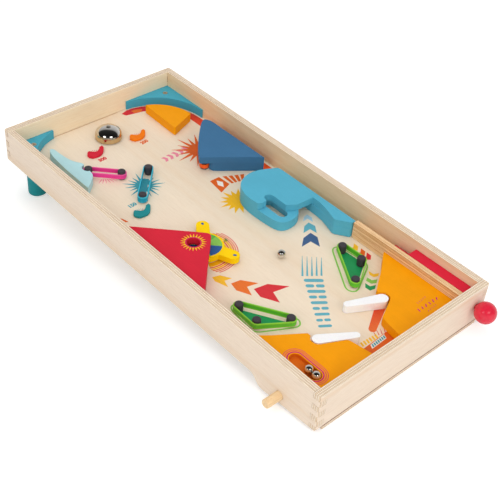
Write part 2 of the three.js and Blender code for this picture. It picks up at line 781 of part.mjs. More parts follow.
// A pressed bell: a straight side, a rounded shoulder and a low dome, on a post with a riveted head
function addBell() {
  const inner = BELL.radius - BELL.shell;
  const shoulder = BELL.shoulder - BELL.round;
  const outerRound = quarterRound(
    [BELL.radius - BELL.round, shoulder],
    BELL.round,
    0,
    Math.PI / 2,
    CURVE_STEPS / 2,
  );
  const innerRound = quarterRound(
    [inner - BELL.round, shoulder - BELL.shell],
    BELL.round,
    Math.PI / 2,
    0,
    CURVE_STEPS / 2,
  );
  const hole = BELL_POST.spigot + GAP;
  const top = BELL.shoulder + BELL.rise;
  const shell = turned(
    [
      [inner, BELL.rimUp],
      [BELL.radius, BELL.rimUp],
      ...outerRound,
      ...domeProfile(BELL.radius - BELL.round, hole, BELL.shoulder, top),
      ...domeProfile(inner - BELL.round, hole, BELL.shoulder - BELL.shell, top - BELL.shell).reverse(),
      ...innerRound,
      [inner, BELL.rimUp],
    ],
    FINE_STEPS,
  );
  const centre = new THREE.Vector3(...place(BELL_SHARES), 0);
  addPart('bell_shell', shell, FINISH.steel, centre);

  const seat = top - BELL.shell - GAP - domeDrop(BELL_POST.radius);
  const head = top + GAP;
  const post = turned([
    [0, -BOARD.thick],
    [BELL_POST.spigot, -BOARD.thick],
    [BELL_POST.spigot, GAP],
    [BELL_POST.foot, GAP],
    [BELL_POST.foot, BELL_POST.footHeight],
    [BELL_POST.radius, BELL_POST.footHeight],
    [BELL_POST.radius, seat],
    [BELL_POST.spigot, seat],
    [BELL_POST.spigot, head],
    [BELL_POST.head, head],
    [BELL_POST.head / 2, head + BELL_POST.headHeight],
    [0, head + BELL_POST.headHeight],
  ]);
  addPart('bell_post', post, FINISH.steel, centre);
}

function domeDrop(radius) {
  return BELL.rise * (radius / (BELL.radius - BELL.round)) ** 2;
}

function domeProfile(from, to, bottom, top) {
  return Array.from({ length: CURVE_STEPS }, (_, i) => {
    const share = (i + 1) / CURVE_STEPS;
    const radius = from + (to - from) * share;
    return [radius, top - (top - bottom) * ((radius - to) / (from - to)) ** 2];
  });
}

function addGuide() {
  const heights = [GAP, GAP + GUIDE.height];
  const cut = [-OVERRUN, GUIDE.height + OVERRUN];
  const posts = ['pink_band_left_post', 'pink_band_right_post'].map(postPlace);
  const notch = disc(posts[0], POST.radius + BAND.thick + GUIDE.notchRoom, cut).add(
    belt(posts, POST.radius + BAND.thick + 2 * GAP, cut),
  );
  addPart('side_guide', prism(fieldOutline(GUIDE_SHARES), heights).subtract(notch), FINISH.paleBlue);
}

// Posts and the flat rubber bands round them

function postPlace(name) {
  return place(POST_SHARES[name]);
}

function addPosts() {
  for (const name of Object.keys(POST_SHARES)) {
    const top = GAP + POST.height;
    const post = turned([
      [0, GAP],
      [POST.radius, GAP],
      [POST.radius, top - EDGE],
      [POST.radius - EDGE, top],
      [0, top],
    ]);
    addPart(name, post, FINISH.dark, new THREE.Vector3(...postPlace(name), 0));
  }
}

function addBand(name, posts, finish) {
  const centres = posts.map(postPlace);
  const heights = [BAND.bottom, BAND.bottom + BAND.height];
  const inner = POST.radius + GAP;
  const band = belt(centres, inner + BAND.thick, heights).subtract(
    belt(centres, inner, [BAND.bottom - OVERRUN, BAND.bottom + BAND.height + OVERRUN]),
  );
  addPart(name, band, finish);
}

function addBands() {
  addBand(
    'left_triangle_band',
    ['left_triangle_side_post', 'left_triangle_front_post', 'left_triangle_back_post'],
    FINISH.greenRubber,
  );
  addBand(
    'right_triangle_band',
    ['right_triangle_front_post', 'right_triangle_side_post', 'right_triangle_back_post'],
    FINISH.greenRubber,
  );
  addBand('pink_band', ['pink_band_left_post', 'pink_band_right_post'], FINISH.pinkRubber);
  addBand('cyan_band', ['cyan_band_back_post', 'cyan_band_front_post'], FINISH.cyanRubber);
  addBand('deflector_band', ['deflector_front_post', 'deflector_back_post'], FINISH.orangeRubber);
}

// Flippers. A paddle points to the middle, from a shaft that passes the board. A lever under the
// board points to the player at half travel, and the button's flat end pushes its round tip.

function flipperPivot(side) {
  return place([AXIS_SHARE + side * FLIPPER_OUT_SHARE, FLIPPER_UP_SHARE]);
}

function paddleTip(side, lift) {
  const [x, y] = flipperPivot(side);
  return [x - side * FLIPPER.length * Math.cos(lift), y + FLIPPER.length * Math.sin(lift)];
}

function addFlipper(name, side, liftDeg) {
  const lift = THREE.MathUtils.degToRad(liftDeg);
  const middle = THREE.MathUtils.degToRad((FLIPPER.loweredDeg + FLIPPER.raisedDeg) / 2);
  const turn = side < 0 ? lift : Math.PI - lift;
  const pivot = new THREE.Vector3(...flipperPivot(side), 0);
  const ends = [
    [0, 0],
    [FLIPPER.length, 0],
  ];
  const top = GAP + FLIPPER.height;
  const paddle = prism(beltOutline(ends, [FLIPPER.hub, FLIPPER.tip]), [GAP, top]).subtract(
    disc([0, 0], LEVER.shaft + GAP, [-OVERRUN, LEVER.shaftTop + GAP]),
  );
  addPart(`${name}_flipper`, paddle, FINISH.white, pivot, turn);

  const leverAngle = side * (Math.PI / 2 + middle);
  const tip = [LEVER.arm * Math.cos(leverAngle), LEVER.arm * Math.sin(leverAngle)];
  const leverTop = -BOARD.thick - GAP;
  const leverBottom = leverTop - LEVER.thick;
  const lever = belt([[0, 0], tip], LEVER.armHalf, [leverBottom, leverTop])
    .add(disc([0, 0], LEVER.hub, [leverBottom, leverTop]))
    .add(disc(tip, LEVER.tip, [leverBottom, leverTop]))
    .add(disc([0, 0], LEVER.shaft, [leverBottom, LEVER.shaftTop]));
  addPart(`${name}_flipper_lever`, lever, FINISH.beech, pivot, turn);
}

// Each button is a round rod through its side wall, kept in by a cross pin
function addButton(name, side, liftDeg) {
  const swing = THREE.MathUtils.degToRad((FLIPPER.raisedDeg - FLIPPER.loweredDeg) / 2);
  const halfTravel = LEVER.arm * Math.sin(swing);
  const inner = Math.abs(flipperPivot(side)[0] + side * (halfTravel + LEVER.tip + GAP));
  const outer = HALF_WIDTH + BUTTON.reach;
  const pushed = liftDeg === FLIPPER.raisedDeg ? 2 * halfTravel : 0;
  const rod = turned([
    [0, inner],
    [BUTTON.radius, inner],
    ...quarterRound(
      [BUTTON.radius - BUTTON.edge, outer - BUTTON.edge],
      BUTTON.edge,
      0,
      Math.PI / 2,
      CURVE_STEPS / 2,
    ),
    [0, outer],
  ]);
  const pinPlace = INNER_HALF - GAP - BUTTON.pin;
  const pin = turned(rodProfile(BUTTON.pin, 2 * BUTTON.pinReach), ROUND_STEPS / 2)
    .rotate([-90, 0, 0])
    .translate([side * pinPlace, -BUTTON.pinReach, 0]);
  const button = rod.rotate([0, side * 90, 0]).add(pin);
  const position = new THREE.Vector3(-side * pushed, BUTTON_PLACE, BUTTON_AXIS);
  addPart(`${name}_button`, button, FINISH.beech, position);
}

// The launcher: a rod in a bored block, pushed back by a coil spring round its shank

class SpringCurve extends THREE.Curve {
  constructor(from, to) {
    super();
    this.from = from;
    this.to = to;
  }

  getPoint(share, target = new THREE.Vector3()) {
    const angle = 2 * Math.PI * SPRING.turns * share;
    const along = this.from + (this.to - this.from) * share;
    return target.set(SPRING.radius * Math.cos(angle), along, SPRING.radius * Math.sin(angle));
  }
}

function addSpring() {
  const from = CASE.wall + GAP + SPRING.wire;
  const to = PLUNGER.shoulder - GAP - SPRING.wire;
  const curve = new SpringCurve(from, to);
  const section = new THREE.Shape();
  for (let i = 0; i < SPRING.sides; i += 1) {
    const angle = (2 * Math.PI * i) / SPRING.sides;
    const corner = [SPRING.wire * Math.cos(angle), SPRING.wire * Math.sin(angle)];
    if (i === 0) section.moveTo(...corner);
    else section.lineTo(...corner);
  }
  section.closePath();
  const steps = SPRING.turns * SPRING.stepsPerTurn;
  const geometry = new THREE.ExtrudeGeometry(section, { steps, extrudePath: curve });
  addPart('plunger_spring', toSolid(geometry), FINISH.steel, plungerPosition());

  const points = curve.getSpacedPoints(steps);
  let least = Infinity;
  for (let i = 0; i + SPRING.stepsPerTurn <= steps; i += 1) {
    least = Math.min(least, points[i].distanceTo(points[i + SPRING.stepsPerTurn]));
  }
  console.log(`plunger_spring: least gap between turns ${(least - 2 * SPRING.wire).toFixed(2)} mm`);
}

function plungerPosition() {
  return new THREE.Vector3(LANE_MIDDLE, 0, PLUNGER.axis);
}

function addPlunger() {
  const blockHeights = [GAP, BLOCK_TOP];
  const bore = layAlongY(turned(rodProfile(PLUNGER.striker + GAP, CASE.depth)));
  const block = box(
    [DIVIDER.right + GAP, INNER_HALF - GAP],
    [CASE.wall + GAP, CASE.wall + PLUNGER.blockLength],
    blockHeights,
  ).subtract(bore.translate(plungerPosition().toArray()));
  addPart('plunger_block', block, FINISH.red);

  const knobCentre = -GAP - PLUNGER.knob;
  const rodStart = knobCentre + PLUNGER.knob - PLUNGER.knobSeat;
  const rod = turned([
    [0, rodStart],
    [PLUNGER.shank, rodStart],
    [PLUNGER.shank, PLUNGER.shoulder],
    [PLUNGER.striker, PLUNGER.shoulder],
    [PLUNGER.striker, PLUNGER.length - EDGE],
    [PLUNGER.striker - EDGE, PLUNGER.length],
    [0, PLUNGER.length],
  ]);
  addPart('plunger_rod', layAlongY(rod), FINISH.red, plungerPosition());

  const ball = new THREE.SphereGeometry(PLUNGER.knob, FINE_STEPS, BALL_STEPS);
  const seat = turned(rodProfile(PLUNGER.shank + GAP, PLUNGER.knobSeat + GAP + OVERRUN));
  const knob = toSolid(ball)
    .translate([0, knobCentre, 0])
    .subtract(layAlongY(seat).translate([0, rodStart - GAP, 0]));
  addPart('plunger_knob', knob, FINISH.red, plungerPosition());
  addSpring();
}

// Steel balls: one in play, two in the tray against its front end

function addBalls() {
  const [front] = trayCentres();
  const frontBall = front[1] - (TRAY.radius - BALL.radius) + GAP;
  const trayHeight = trayFloor() + GAP + BALL.radius;
  const places = {
    ball_in_play: [...place(FREE_BALL_SHARES), GAP + BALL.radius],
    tray_ball_front: [front[0], frontBall, trayHeight],
    tray_ball_back: [front[0], frontBall + 2 * BALL.radius + GAP, trayHeight],
  };
  for (const [name, centre] of Object.entries(places)) {
    const ball = new THREE.SphereGeometry(BALL.radius, BALL_STEPS, BALL_STEPS / 2);
    addPart(name, toSolid(ball), FINISH.steel, new THREE.Vector3(...centre));
  }
}

addCase();
addBoard();
addFoot('left_foot', -1);
addFoot('right_foot', 1);
addCornerBlock(-1, 'left', LEFT_CORNER);
addCornerBlock(1, 'right', RIGHT_CORNER);
addWedge();
addDeflector();
addTunnel();
addLaneDivider();
addAprons();
addScoreBlock();
addSpinner();
addPockets();
addBell();
addGuide();
addPosts();
addBands();
addFlipper('left', -1, FLIPPER.loweredDeg);
addFlipper('right', 1, FLIPPER.raisedDeg);
addButton('left', -1, FLIPPER.loweredDeg);
addButton('right', 1, FLIPPER.raisedDeg);
addPlunger();
addBalls();

// The origin is under the middle of the whole game, on the table
const group = new THREE.Group();
group.add(tray);
group.updateMatrixWorld(true);
const bounds = new THREE.Box3().setFromObject(group, true);
const middle = bounds.getCenter(new THREE.Vector3());
tray.position.set(-middle.x, -middle.y, -bounds.min.z);

export default group;
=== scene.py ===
"""The looks of a wooden pinball game: lacquered ply, painted blocks, printed field, rubber and steel."""

import json
import math

import bmesh
import bpy
from mathutils import Matrix, Vector


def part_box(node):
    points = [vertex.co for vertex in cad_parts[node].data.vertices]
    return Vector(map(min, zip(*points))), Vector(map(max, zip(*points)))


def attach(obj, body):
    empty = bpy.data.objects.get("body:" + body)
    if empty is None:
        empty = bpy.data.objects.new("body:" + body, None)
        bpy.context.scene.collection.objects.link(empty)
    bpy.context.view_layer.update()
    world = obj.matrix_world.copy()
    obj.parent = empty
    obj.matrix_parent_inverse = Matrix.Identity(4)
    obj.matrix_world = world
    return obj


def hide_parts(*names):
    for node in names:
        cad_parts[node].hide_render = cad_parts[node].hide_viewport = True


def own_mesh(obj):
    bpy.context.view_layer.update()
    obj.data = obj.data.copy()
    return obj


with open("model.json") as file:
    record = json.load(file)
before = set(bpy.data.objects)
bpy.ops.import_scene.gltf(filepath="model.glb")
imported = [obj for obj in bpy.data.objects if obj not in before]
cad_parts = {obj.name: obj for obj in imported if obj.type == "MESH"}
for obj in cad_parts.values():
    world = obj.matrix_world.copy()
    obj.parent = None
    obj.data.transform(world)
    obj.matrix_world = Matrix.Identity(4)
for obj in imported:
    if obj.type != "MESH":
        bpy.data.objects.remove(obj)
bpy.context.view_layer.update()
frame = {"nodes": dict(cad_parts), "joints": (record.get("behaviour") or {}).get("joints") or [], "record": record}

MM = 0.001

# The tray's own frame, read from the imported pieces: x to the player's right from the middle, y back
# from the front face and z up from the playing surface, all in millimetres.

HALF_WIDTH = 140.0
CASE_WALL = 10.0
CASE_DEPTH = 600.0
LIP = 35.5
MIRROR_X = -10.48  # the prints for the left flipper and triangle mirror the right ones about it
HOLLOW = ((-105.04, 39.99), (-105.04, 69.99))  # the two round ends of the ball tray
HOLLOW_RADIUS = 7.5
SLOT_ENDS = ((55.28, 260.56), (55.28, 286.08))  # the two round ends of the loop's slot
SLOT_RADIUS = 6.6
VIEWER = (-0.712, -0.702)  # the level direction from the game's middle to the camera

BODIES = frame["record"]["behaviour"]["bodies"]
BODY_OF = {node: body for body, nodes in BODIES.items() for node in nodes}


def joint(name):
    return next(j for j in frame["joints"] if j["name"] == name)


def find_tray():
    """The tray's tilt, and the matrix from its frame to the world."""
    axis = Vector(joint("spinner_turn")["axis"])
    tilt = math.atan2(-axis.y, axis.z)
    turn = Matrix.Rotation(tilt, 4, "X")
    back = turn.inverted()
    wall = [back @ v.co for v in frame["nodes"]["left_wall"].data.vertices]
    board = [back @ v.co for v in frame["nodes"]["playfield_board"].data.vertices]
    origin = Vector((
        min(v.x for v in wall) + HALF_WIDTH * MM,
        min(v.y for v in wall),
        max(v.z for v in board),
    ))
    return tilt, turn @ Matrix.Translation(origin) @ Matrix.Scale(MM, 4)


TILT, TRAY = find_tray()
FROM_WORLD = TRAY.inverted()


def tray(x, y, z=0.0):
    return TRAY @ Vector((x, y, z))


def tray_box(node):
    """Lowest and highest corner of a CAD node in the tray's frame."""
    points = [FROM_WORLD @ v.co for v in frame["nodes"][node].data.vertices]
    return [Vector(end(p[i] for p in points) for i in range(3)) for end in (min, max)]


def middle(node):
    low, high = tray_box(node)
    return (low + high) / 2


def heading(degrees):
    return Vector((math.cos(math.radians(degrees)), math.sin(math.radians(degrees))))


# Materials: small helpers that lay out nodes in the tray's frame


def linear(rgb):
    def channel(value):
        share = value / 255
        return share / 12.92 if share <= 0.04045 else ((share + 0.055) / 1.055) ** 2.4

    return (*(channel(value) for value in rgb), 1.0)


def shade(rgb, factor):
    return tuple(min(255, value * factor) for value in rgb)


# Stretches that leave a pattern even, or lay fibres or growth lines along one axis, and the tone
# that changes nothing where it multiplies another
EVEN = (1, 1, 1)
ALONG = {"X": (0.05, 1, 1), "Y": (1, 0.05, 1)}
LONG = {"X": (0.012, 1, 1), "Y": (1, 0.012, 1)}
CLEAR = (255, 255, 255)


class Nodes:
    """A node tree. Each helper adds a node and gives its output."""

    def __init__(self, tree):
        self.tree = tree

    def feed(self, socket, value):
        if isinstance(value, bpy.types.NodeSocket):
            self.tree.links.new(value, socket)
        else:
            socket.default_value = value

    def node(self, kind, inputs=None, **settings):
        made = self.tree.nodes.new(f"ShaderNode{kind}")
        for key, value in settings.items():
            setattr(made, key, value)
        for key, value in (inputs or {}).items():
            self.feed(made.inputs[key], value)
        return made

    def place(self, stretch=EVEN):
        """The point in the tray's frame in millimetres, each axis times its stretch."""
        inputs = {"Vector": self.node("TexCoord").outputs["Object"], "Scale": (MM, MM, MM)}
        inputs.update({"Location": TRAY.to_translation(), "Rotation": (TILT, 0, 0)})
        inside = self.node("Mapping", inputs, vector_type="TEXTURE").outputs["Vector"]
        inputs = {"Vector": inside, "Scale": stretch}
        return self.node("Mapping", inputs, vector_type="POINT").outputs["Vector"]

    def noise(self, stretch, scale, detail=2.0, roughness=0.5, distortion=0.0):
        inputs = {"Vector": self.place(stretch), "Scale": scale, "Detail": detail}
        inputs.update({"Roughness": roughness, "Distortion": distortion})
        return self.node("TexNoise", inputs).outputs["Fac"]

    def levels(self, value, stops):
        made = self.node("ValToRGB", {"Fac": value})
        elements = made.color_ramp.elements
        while len(elements) < len(stops):
            elements.new(1.0)
        for element, (position, color) in zip(elements, stops):
            element.position = position
            element.color = color
        return made.outputs["Color"]

    def fade(self, value, low, high, to_low=0.0, to_high=1.0):
        limits = {"From Min": low, "From Max": high, "To Min": to_low, "To Max": to_high}
        return self.node("MapRange", {"Value": value, **limits}).outputs["Result"]

    def math(self, operation, first, second=0.0):
        return self.node("Math", {0: first, 1: second}, operation=operation).outputs[0]

    def mix(self, factor, first, second, blend="MIX"):
        inputs = {0: factor, 6: first, 7: second}
        return self.node("Mix", inputs, data_type="RGBA", blend_type=blend).outputs[2]

    def axis(self, vector, name):
        return self.node("SeparateXYZ", {"Vector": vector}).outputs[name]


class Finish(Nodes):
    """A Principled material with its nodes."""

    def __init__(self, name, roughness, metallic=0.0, specular=0.5):
        self.material = bpy.data.materials.new(name)
        self.material.use_nodes = True
        super().__init__(self.material.node_tree)
        self.shader = self.tree.nodes["Principled BSDF"]
        self.set("Roughness", roughness)
        self.set("Metallic", metallic)
        self.set("Specular IOR Level", specular)

    def set(self, socket, value):
        self.feed(self.shader.inputs[socket], value)

    def ramp(self, value, stops):
        """A colour ramp whose stops are written in sRGB, from 0 to 255."""
        return self.levels(value, [(position, linear(color)) for position, color in stops])

    def tones(self, value, color, dark, light=1.0, low=0.3, high=0.7):
        """A colour times one factor where a value is low, and another where it is high."""
        return self.ramp(value, [(low, shade(color, dark)), (high, shade(color, light))])

    def tint(self, share, base, value, low, tone, high=0.6):
        """Multiply a colour by a share of a tone where a value is low."""
        veil = self.ramp(value, [(low, tone), (high, CLEAR)])
        return self.mix(share, base, veil, "MULTIPLY")

    def gloss(self, value, rough, smooth):
        self.set("Roughness", self.fade(value, 0.3, 0.7, rough, smooth))

    def done(self, color, relief=None, distance=0.0, strength=0.0):
        """Set the colour and the relief, whose depth is in millimetres; gives the material."""
        self.set("Base Color", color)
        if relief is not None:
            inputs = {"Height": relief, "Distance": distance * MM, "Strength": strength}
            self.set("Normal", self.node("Bump", inputs).outputs["Normal"])
        return self.material


def veneer(name, grain, light, dark, roughness=0.42, streak=0.28, growth=0.05):
    """Lacquered veneer whose fibres run along one axis."""
    finish = Finish(name, roughness, specular=0.4)
    broad = finish.noise(LONG[grain], growth, 3.0, 0.55, 0.6)
    fine = finish.noise(ALONG[grain], 0.9, 4.0, 0.65)
    pores = finish.noise(ALONG[grain], 3.6, 1.0, 0.5)
    tone = finish.ramp(broad, [(0.3, dark), (0.5, shade(light, 0.985)), (0.7, light)])
    tone = finish.tint(streak, tone, fine, 0.3, shade(light, 0.88), 0.55)
    tone = finish.tint(streak, tone, pores, 0.24, (200, 160, 120), 0.33)
    finish.gloss(fine, roughness + 0.06, roughness - 0.05)
    return finish.done(tone, fine, 0.05, 0.35)


def ply_edge(name, across, low, pitch, grain):
    """The cut edge of plywood: plies in turn pale and brown, as stripes across the thickness."""
    finish = Finish(name, 0.5, specular=0.3)
    wander = finish.noise(LONG[grain], 0.35, 3.0, 0.6)
    clouds = finish.noise(ALONG[grain], 0.16, 3.0, 0.6)
    grit = finish.noise(ALONG[grain], 1.6, 4.0, 0.7)
    depth = finish.math("SUBTRACT", finish.axis(finish.place(), across), low)
    shifted = finish.math("ADD", depth, finish.fade(wander, 0.2, 0.8, -0.28, 0.28))
    layer = finish.math("FRACT", finish.math("DIVIDE", shifted, pitch))
    stops = [
        (0.0, EDGE_PALE), (0.38, EDGE_PALE), (0.43, EDGE_LINE), (0.50, EDGE_LINE),
        (0.56, EDGE_BROWN), (0.84, EDGE_BROWN), (0.88, EDGE_LINE), (0.95, EDGE_LINE),
        (1.0, EDGE_PALE),
    ]
    pale = finish.tones(wander, EDGE_PALE, 0.96)
    color = finish.mix(finish.fade(clouds, 0.3, 0.7, 0.6, 1.0), pale, finish.ramp(layer, stops))
    fibres = finish.ramp(grit, [(0.25, (205, 175, 140)), (0.5, (250, 245, 238)), (1, CLEAR)])
    return finish.done(finish.mix(0.7, color, fibres, "MULTIPLY"), layer, 0.04, 0.3)


def paint(name, color, roughness=0.45, specular=0.1):
    """Satin paint over wood: its fibres show faintly in the gloss and the shade."""
    finish = Finish(name, roughness, specular=specular)
    cloud = finish.noise(EVEN, 0.035, 3.0, 0.6)
    fibres = finish.noise(ALONG["Y"], 0.8, 4.0, 0.65)
    stops = [(0.3, shade(color, 0.985)), (0.5, color), (0.7, shade(color, 1.015))]
    tone = finish.tint(0.8, finish.ramp(cloud, stops), fibres, 0.3, (250, 250, 250))
    finish.gloss(fibres, roughness + 0.07, roughness - 0.05)
    return finish.done(tone, fibres, 0.015, 0.5)


def ink(name, color, fade_to=None, span=(0, 1)):
    """Screen-printed colour: thin enough for the veneer's fibres to show. It may fade to another
    colour over a span from front to back."""
    finish = Finish(name, 0.5, specular=0.3)
    fibres = finish.noise(ALONG["Y"], 1.1, 4.0, 0.7)
    speckle = finish.noise(EVEN, 1.4, 2.0, 0.6)
    base = finish.tones(speckle, color, 0.95, high=0.6)
    if fade_to:
        share = finish.fade(finish.axis(finish.place(), "Y"), *span)
        base = finish.mix(share, base, finish.tones(speckle, fade_to, 0.95, high=0.6))
    base = finish.tint(0.7, base, fibres, 0.25, (225, 222, 218), 0.55)
    return finish.done(base, fibres, 0.02, 0.4)


def rubber(name, color, roughness=0.55, edge=None, heights=(0, 1)):
    """Moulded rubber; a band's two rims are paler than its face."""
    finish = Finish(name, roughness, specular=0.35)
    grain = finish.noise(EVEN, 2.2, 3.0, 0.6)
    base = finish.tones(grain, color, 0.93, 1.05)
    if edge:
        height = finish.fade(finish.axis(finish.place(), "Z"), *heights)
        away = finish.math("ABSOLUTE", finish.math("SUBTRACT", height, 0.5))
        rim = finish.tones(grain, edge, 0.95, 1.03)
        base = finish.mix(finish.fade(away, 0.27, 0.36), base, rim)
    finish.gloss(grain, roughness + 0.08, roughness - 0.08)
    return finish.done(base, grain, 0.05, 0.4)


def plastic(name, color):
    finish = Finish(name, 0.3)
    finish.gloss(finish.noise(EVEN, 0.8, 3.0), 0.34, 0.24)
    finish.set("Subsurface Weight", 0.12)
    finish.set("Subsurface Radius", (0.004, 0.003, 0.002))
    finish.set("Subsurface Scale", 0.5)
    return finish.done(finish.tones(finish.noise(EVEN, 0.06), color, 0.985))


def steel(name, color, roughness, skirt=None):
    """Polished metal; the bell's upright side gets a painted reflection of the board round it, a warm tone."""
    finish = Finish(name, roughness, metallic=1.0)
    haze = finish.noise(EVEN, 0.25, 3.0, 0.6)
    base = finish.tones(haze, color, 0.965, 1, 0.35, 0.65)
    if skirt:
        # Painted reflection: the board's warm tone mixed into the upright side's colour
        height = finish.fade(finish.axis(finish.place(), "Z"), *REFLECTION_FADE)
        base = finish.mix(height, finish.tones(haze, skirt, 0.95, 1, 0.35, 0.65), base)
    marks = finish.noise((1, 1, 0.2), 2.5, 3.0, 0.6)
    finish.set("Roughness", finish.fade(marks, 0.3, 0.75, roughness, roughness * 1.8))
    return finish.done(base)


def pine(name):
    """Pine with strong growth lines that run along the strip."""
    finish = Finish(name, 0.45, specular=0.35)
    lines = finish.noise((1, 0.004, 1), 0.42, 2.0, 0.5, 0.8)
    fine = finish.noise(ALONG["Y"], 1.3, 4.0, 0.65)
    stops = [
        (0.34, (196, 130, 70)), (0.39, (244, 206, 156)), (0.50, (249, 218, 174)),
        (0.56, (240, 198, 144)), (0.59, (186, 118, 60)), (0.63, (247, 212, 164)),
    ]
    tone = finish.ramp(lines, stops)
    return finish.done(finish.tint(0.7, tone, fine, 0.3, (222, 200, 170)), lines, 0.08, 0.4)


def beech(name):
    """Bare beech: pale brown with short dark flecks along the rod."""
    finish = Finish(name, 0.5, specular=0.3)
    fibres = finish.noise(ALONG["X"], 0.9, 4.0, 0.6)
    flecks = finish.noise((0.25, 1, 1), 1.5, 1.0, 0.5)
    tone = finish.ramp(fibres, [(0.3, (230, 192, 142)), (0.65, (244, 216, 172))])
    tone = finish.tint(0.6, tone, flecks, 0.27, (200, 152, 106), 0.36)
    return finish.done(tone, fibres, 0.06, 0.4)


# Colours in sRGB; a veneer has a light and a dark one

BIRCH = ((242, 223, 202), (234, 209, 181))
FIELD = ((244, 226, 202), (238, 216, 188))
# Painted light: inner faces paler than the outer ones, the sides warmed by a painted glow off the blocks
INNER_SIDE_PAINTED_GLOW = ((246, 218, 180), (237, 203, 160))
INNER_END_PAINTED_LIGHT = ((254, 236, 204), (248, 223, 186))
EDGE_PALE = (252, 240, 222)
EDGE_BROWN = (240, 216, 184)
EDGE_LINE = (142, 96, 60)
CHROME = (226, 222, 216)
# Painted reflection: the board's warm tone on the bell's upright side
BELL_PAINTED_REFLECTION = (212, 184, 140)
PAINTS = {
    # Painted shade: the darker orange inside the ball tray's recess
    "orange": (245, 158, 0), "hollow": (224, 112, 24), "pocket": (243, 122, 12),
    # Painted shade: darker faces in the creases between the walls' fingers
    # Painted shadow: a dark brown strip in the gap under the front wall
    "seam": (122, 66, 34), "groove": (150, 102, 66), "blue": (62, 112, 152),
    "turquoise": (88, 176, 202), "corner": (74, 170, 194), "red": (214, 38, 58),
    "launcher": (216, 36, 60), "teal": (35, 140, 145), "pale_blue": (182, 222, 227),
    "yellow": (255, 212, 0),
}

# Sizes in millimetres: a pale and a brown ply of the walls and of the panel, the heights between
# which a band's rims are shaded, and those over which the bell's painted reflection of the board fades
WALL_PITCH = CASE_WALL / 3.5
PANEL_PITCH = 2.2
GREEN_HEIGHTS = (2.25, 9.75)
TALL_HEIGHTS = (1.95, 10.05)
LOW_HEIGHTS = (3, 9)
REFLECTION_FADE = (8, 12)

# What makes each material, with its values
RECIPES = {
    "side_face": (veneer, "Y", *BIRCH),
    "end_face": (veneer, "X", *BIRCH),
    "inner_side": (veneer, "Y", *INNER_SIDE_PAINTED_GLOW),
    "inner_end": (veneer, "X", *INNER_END_PAINTED_LIGHT),
    "field": (veneer, "Y", *FIELD, 0.45, 0.18, 0.03),
    "left_edge": (ply_edge, "X", -HALF_WIDTH, WALL_PITCH, "Y"),
    "right_edge": (ply_edge, "X", HALF_WIDTH - CASE_WALL, WALL_PITCH, "Y"),
    "front_edge": (ply_edge, "Y", 0.0, WALL_PITCH, "X"),
    "back_edge": (ply_edge, "Y", CASE_DEPTH - CASE_WALL, WALL_PITCH, "X"),
    "panel_edge": (ply_edge, "Z", 0.0, PANEL_PITCH, "X"),
    "plunger": (paint, (222, 36, 62), 0.15, 0.5),
    "white": (plastic, (250, 250, 250)),
    "post": (rubber, (62, 58, 64), 0.5),
    "green_band": (rubber, (92, 190, 44), 0.55, (140, 214, 60), GREEN_HEIGHTS),
    "pink_band": (rubber, (235, 60, 150), 0.55, (248, 100, 170), TALL_HEIGHTS),
    "cyan_band": (rubber, (10, 158, 190), 0.55, (60, 190, 215), TALL_HEIGHTS),
    "orange_band": (rubber, (245, 90, 20), 0.55, (255, 99, 22), LOW_HEIGHTS),
    "chrome": (steel, CHROME, 0.04),
    "bell": (steel, CHROME, 0.04, BELL_PAINTED_REFLECTION),
    "steel": (steel, (215, 211, 203), 0.3),
    "pine": (pine,),
    "beech": (beech,),
    **{name: (paint, color) for name, color in PAINTS.items()},
}
MATERIAL = {name: make(name, *values) for name, (make, *values) in RECIPES.items()}


# Building blocks for meshes


def link(name, data):
    made = bpy.data.objects.new(name, data)
    bpy.context.scene.collection.objects.link(made)
    return made


def link_piece(name, mesh, body, slot):
    piece = link(name, mesh)
    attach(piece, body)
    return piece


def evaluated(thing):
    """A new mesh of what an object looks like with its modifiers."""
    bpy.context.view_layer.update()
    graph = bpy.context.evaluated_depsgraph_get()
    return bpy.data.meshes.new_from_object(thing.evaluated_get(graph))


def mesh_of(shaped, name, material=None):
    mesh = bpy.data.meshes.new(name)
    shaped.to_mesh(mesh)
    shaped.free()
    if material:
        mesh.materials.append(MATERIAL[material])
    return mesh


def sharp_edges(mesh, angle):
    mesh.shade_smooth()
    mesh.set_sharp_from_angle(angle=angle)


def arc(centre, radius, start, end, steps=24):
    angles = [math.radians(start + (end - start) * i / steps) for i in range(steps + 1)]
    return [(centre[0] + radius * math.cos(a), centre[1] + radius * math.sin(a)) for a in angles]


def join_rows(shaped, rows, closed=False):
    """Faces between neighbouring rows of corners, each of which goes round a section."""
    faces = []
    count = len(rows)
    for i in range(count if closed else count - 1):
        near, far = rows[i], rows[(i + 1) % count]
        for k in range(len(near)):
            m = (k + 1) % len(near)
            faces.append(shaped.faces.new((near[k], near[m], far[m], far[k])))
    return faces


def add_prism(shaped, points, bottom, top, material=0, lean=(0, 0)):
    """A closed solid over an outline in the tray's frame; its foot may lean away from its top."""
    area = sum(a[0] * b[1] - b[0] * a[1] for a, b in zip(points, points[1:] + points[:1]))
    if area < 0:
        points = points[::-1]
    lower = [shaped.verts.new(tray(x + lean[0], y + lean[1], bottom)) for x, y in points]
    upper = [shaped.verts.new(tray(x, y, top)) for x, y in points]
    faces = [shaped.faces.new(upper), shaped.faces.new(lower[::-1])]
    for face in faces + join_rows(shaped, (lower, upper)):
        face.material_index = material


def prism(name, points, bottom, top, material=None, lean=(0, 0)):
    shaped = bmesh.new()
    add_prism(shaped, points, bottom, top, lean=lean)
    return mesh_of(shaped, name, material)


# Softened copies of the CAD pieces: welded, rounded along their edges and smoothed

CREASE = math.radians(34)  # a sharper fold is rounded
CRISP_SHARE = 0.45  # of the rounding, where the walls' fingers meet

